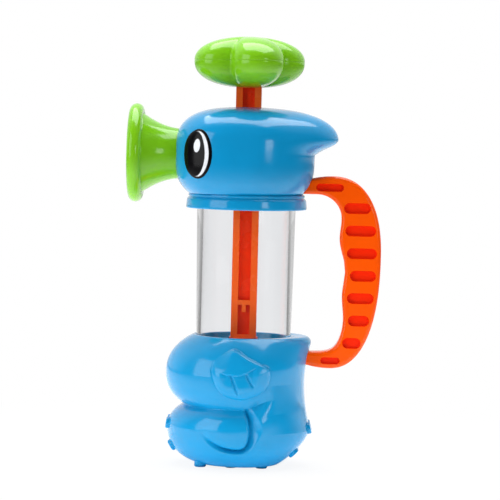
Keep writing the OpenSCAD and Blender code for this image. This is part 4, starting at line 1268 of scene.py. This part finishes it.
# Shells, with holes for the screws on the right side and for the horn
SCREW_HOLE_R = 2.85
SCREW_SEAT = 9.0
SCREW_OUT = 60.0
HEAD_SCREWS = [(16, EQUATOR_Z + 3), (-16, EQUATOR_Z + 9)]
BODY_SCREWS = [(-21, TAIL_MID - 4), (19, TAIL_MID - 4), (-(RIM_BORE + 6.4), BELLY_MID + 3)]
HORN_CUT_FROM = -60.0
HORN_CUT_TO = -28.0


def screw_cutters(places):
    cutters = []
    for x, z in places:
        cutters.append(cylinder_cutter(SCREW_HOLE_R, (x, SCREW_SEAT, z), (x, SCREW_OUT, z), 32))
    return cutters


def horn_cutter():
    radius = float(horn_flare(HEAD_FRONT)) + FIT
    return cylinder_cutter(radius, (HORN_CUT_FROM, 0, HORN_Z), (HORN_CUT_TO, 0, HORN_Z), 128)


head = head_loops()
body = body_loops()
for name, loops, cutters in (
    ("head_left", head, [horn_cutter()]),
    ("head_right", mirrored(head), [horn_cutter()] + screw_cutters(HEAD_SCREWS)),
    ("body_left", body, []),
    ("body_right", mirrored(body), screw_cutters(BODY_SCREWS)),
):
    shell = loft(name, loops)
    if cutters:
        cut(shell, cutters)
    dress(shell, blue_plastic, "housing", "blue_plastic", name + "_shell")
for name, side in (("studs_left", -1), ("studs_right", 1)):
    dress(body_studs(name, side), blue_plastic, "housing", "blue_plastic")

dress(lathe("collar", collar_profile()), blue_plastic, "housing", "blue_plastic", "collar_ring")
dress(lathe("rim_lip", rim_lip_profile()), blue_plastic, "housing", "blue_plastic")
barrel = lathe("clear_barrel", barrel_profile(), segments=192)
dress(barrel, clear_look(), "housing", "clear_plastic", "barrel")
barrel.visible_shadow = False
barrel.visible_diffuse = False
barrel.visible_glossy = False

horn = lathe("horn", horn_profile(), segments=192)
to_mouth = Matrix.Rotation(-math.pi / 2, 4, "Y")
horn.data.transform(Matrix.Translation((0, 0, HORN_Z * MM)) @ to_mouth)
dress(horn, green_plastic, "housing", "green_plastic", "mouth_horn")

handle = handle_body("loop_handle")
handle.data.materials.append(orange_plastic.mat)
cutters = []
for start, end, z, h in handle_slots():
    for side in (-1, 1):
        slot = slot_cutter(start, end, z, h, side)
        slot.data.materials.append(recess_plastic.mat)
        cutters.append(slot)
cut(handle, cutters, transfer=True)
dress(handle, orange_plastic, "housing", "orange_plastic", "handle")

eye = eye_look()
dress(eye_disc("eye_left", -1), eye, "housing", "eye_print", "left_eye")
dress(eye_disc("eye_right", 1), eye, "housing", "eye_print", "right_eye")

knob_top = knob_half("knob_top", KNOB_UP, KNOB_TOP_POWER)
dress(knob_top, green_plastic, "piston", "green_plastic", "knob_top_shell")
knob_bottom = knob_half("knob_bottom", -KNOB_DOWN, KNOB_POWER)
dress(knob_bottom, green_plastic, "piston", "green_plastic", "knob_bottom_shell")

# Floor: plain white to the camera away from the object, which keeps its soft shadow.
# In reflections it is pale near the object and behind it and darkens forwards, so no horizon shows.
FLOOR = 6.0
FLOOR_NEAR = 0.05
FLOOR_FAR = 0.3
FLOOR_GLOW = 0.9
FLOOR_PALE = 0.9
FLOOR_PALE_REACH = 0.32


def floor_look():
    mat = bpy.data.materials.new("floor_look")
    mat.use_nodes = True
    tree = mat.node_tree
    tree.nodes.clear()
    out = tree.nodes.new("ShaderNodeOutputMaterial")
    diffuse = tree.nodes.new("ShaderNodeBsdfDiffuse")
    glow = tree.nodes.new("ShaderNodeEmission")
    glow.inputs["Color"].default_value = (1, 1, 1, 1)
    glow.inputs["Strength"].default_value = 1.0
    place = tree.nodes.new("ShaderNodeTexCoord").outputs["Object"]
    reach = vector_node(tree, "LENGTH", place)
    forward = math_node(tree, "SUBTRACT", reach, y_of(tree, place))
    far = math_node(tree, "MAXIMUM", forward, FLOOR_PALE_REACH)
    tree.links.new(math_node(tree, "DIVIDE", FLOOR_PALE * FLOOR_PALE_REACH, far), diffuse.inputs["Color"])
    away = map_range(tree, reach, FLOOR_GLOW, 1.0, FLOOR_NEAR, FLOOR_FAR, smooth=True)
    path = tree.nodes.new("ShaderNodeLightPath")
    seen = math_node(tree, "MAXIMUM", path.outputs["Is Camera Ray"], path.outputs["Is Transmission Ray"])
    share = math_node(tree, "MULTIPLY", seen, away)
    tree.links.new(mix_shaders(tree, share, diffuse.outputs[0], glow.outputs[0]), out.inputs["Surface"])
    return mat


floor_mesh = bpy.data.meshes.new("floor")
corners = [(-FLOOR, -FLOOR, 0), (FLOOR, -FLOOR, 0), (FLOOR, FLOOR, 0), (-FLOOR, FLOOR, 0)]
floor_mesh.from_pydata(corners, [], [(0, 1, 2, 3)])
floor_mesh.materials.append(floor_look())
floor = bpy.data.objects.new("floor", floor_mesh)
scene.collection.objects.link(floor)

# World: white where it is seen directly or through the barrel, a fill on the object that grows towards the
# back left, and in reflections a backdrop that is bright behind and above and dark in front
FILL_FRONT = 0.25
FILL_BACK = 0.78
ROOM_DARK = 0.02
ROOM_BRIGHT = 1.0
world = bpy.data.worlds.new("studio")
scene.world = world
world.use_nodes = True
sky = world.node_tree
sky.nodes.clear()
heading = sky.nodes.new("ShaderNodeTexCoord").outputs["Generated"]


def backdrop(strength):
    n = sky.nodes.new("ShaderNodeBackground")
    n.inputs["Color"].default_value = (1, 1, 1, 1)
    feed(sky, n.inputs["Strength"], strength)
    return n.outputs[0]


def brightening(towards, dark, bright, start, end):
    """A strength that grows from one value to another towards a direction."""
    along = vector_node(sky, "DOT_PRODUCT", heading, Vector(towards).normalized())
    return map_range(sky, along, dark, bright, start, end, smooth=True)


fill = backdrop(brightening((-0.7, 0.7, 0.2), FILL_FRONT, FILL_BACK, start=-0.7, end=0.5))
room = backdrop(brightening((0, 0.85, 0.5), ROOM_DARK, ROOM_BRIGHT, start=-0.1, end=0.6))
ray = sky.nodes.new("ShaderNodeLightPath")
direct = math_node(sky, "MAXIMUM", ray.outputs["Is Camera Ray"], ray.outputs["Is Transmission Ray"])
lit = mix_shaders(sky, ray.outputs["Is Glossy Ray"], fill, room)
sky_out = sky.nodes.new("ShaderNodeOutputWorld")
sky.links.new(mix_shaders(sky, direct, lit, backdrop(1.0)), sky_out.inputs["Surface"])


def softbox(name, place, target, width, height, power):
    light = bpy.data.lights.new(name, "AREA")
    light.shape = "RECTANGLE"
    light.size = width
    light.size_y = height
    light.energy = power
    obj = bpy.data.objects.new(name, light)
    scene.collection.objects.link(obj)
    obj.location = place
    obj.rotation_euler = (Vector(target) - Vector(place)).to_track_quat("-Z", "Y").to_euler()
    obj.visible_camera = False
    obj.visible_transmission = False
    return obj


softbox("top_box", place=(0.05, 0.14, 1.1), target=(0, 0, 0.15), width=1.2, height=0.85, power=14.2)
softbox("left_box", place=(-0.98, -0.72, 0.42), target=(0, 0, 0.12), width=0.8, height=1.1, power=6.4)
softbox("right_box", place=(0.8, -1.05, 0.35), target=(0, 0, 0.14), width=0.28, height=0.38, power=1.3)
TABLE_X = -0.15
TABLE_Y = -0.1
TABLE_Z = 0.0005
over_table = (TABLE_X, TABLE_Y, 1)
table = softbox("table_box", (TABLE_X, TABLE_Y, TABLE_Z), over_table, width=0.8, height=0.8, power=1.3)
table.visible_glossy = False

# Camera
CAMERA_AZIMUTH = 1.5
CAMERA_DISTANCE = 1.35
CAMERA_HEIGHT = 0.19
AIM_RIGHT = 0.00256
AIM_HEIGHT = 0.1205
CAMERA_ROLL = 1.36
PIXEL = 0.00056
PICTURE = 500
SENSOR = 36.0
around = Matrix.Rotation(math.radians(CAMERA_AZIMUTH), 3, "Z")
place = around @ Vector((AIM_RIGHT, -CAMERA_DISTANCE, CAMERA_HEIGHT))
aim = around @ Vector((AIM_RIGHT, 0, AIM_HEIGHT))
roll = Matrix.Rotation(math.radians(CAMERA_ROLL), 3, "Z")
cam = bpy.data.cameras.new("camera")
cam.sensor_width = SENSOR
cam.lens = SENSOR * (aim - place).length / (PICTURE * PIXEL)
cam.dof.use_dof = False
cam_obj = bpy.data.objects.new("camera", cam)
scene.collection.objects.link(cam_obj)
cam_obj.location = place
cam_obj.rotation_euler = ((aim - place).to_track_quat("-Z", "Y").to_matrix() @ roll).to_euler()
scene.camera = cam_obj
scene.view_settings.view_transform = "Standard"
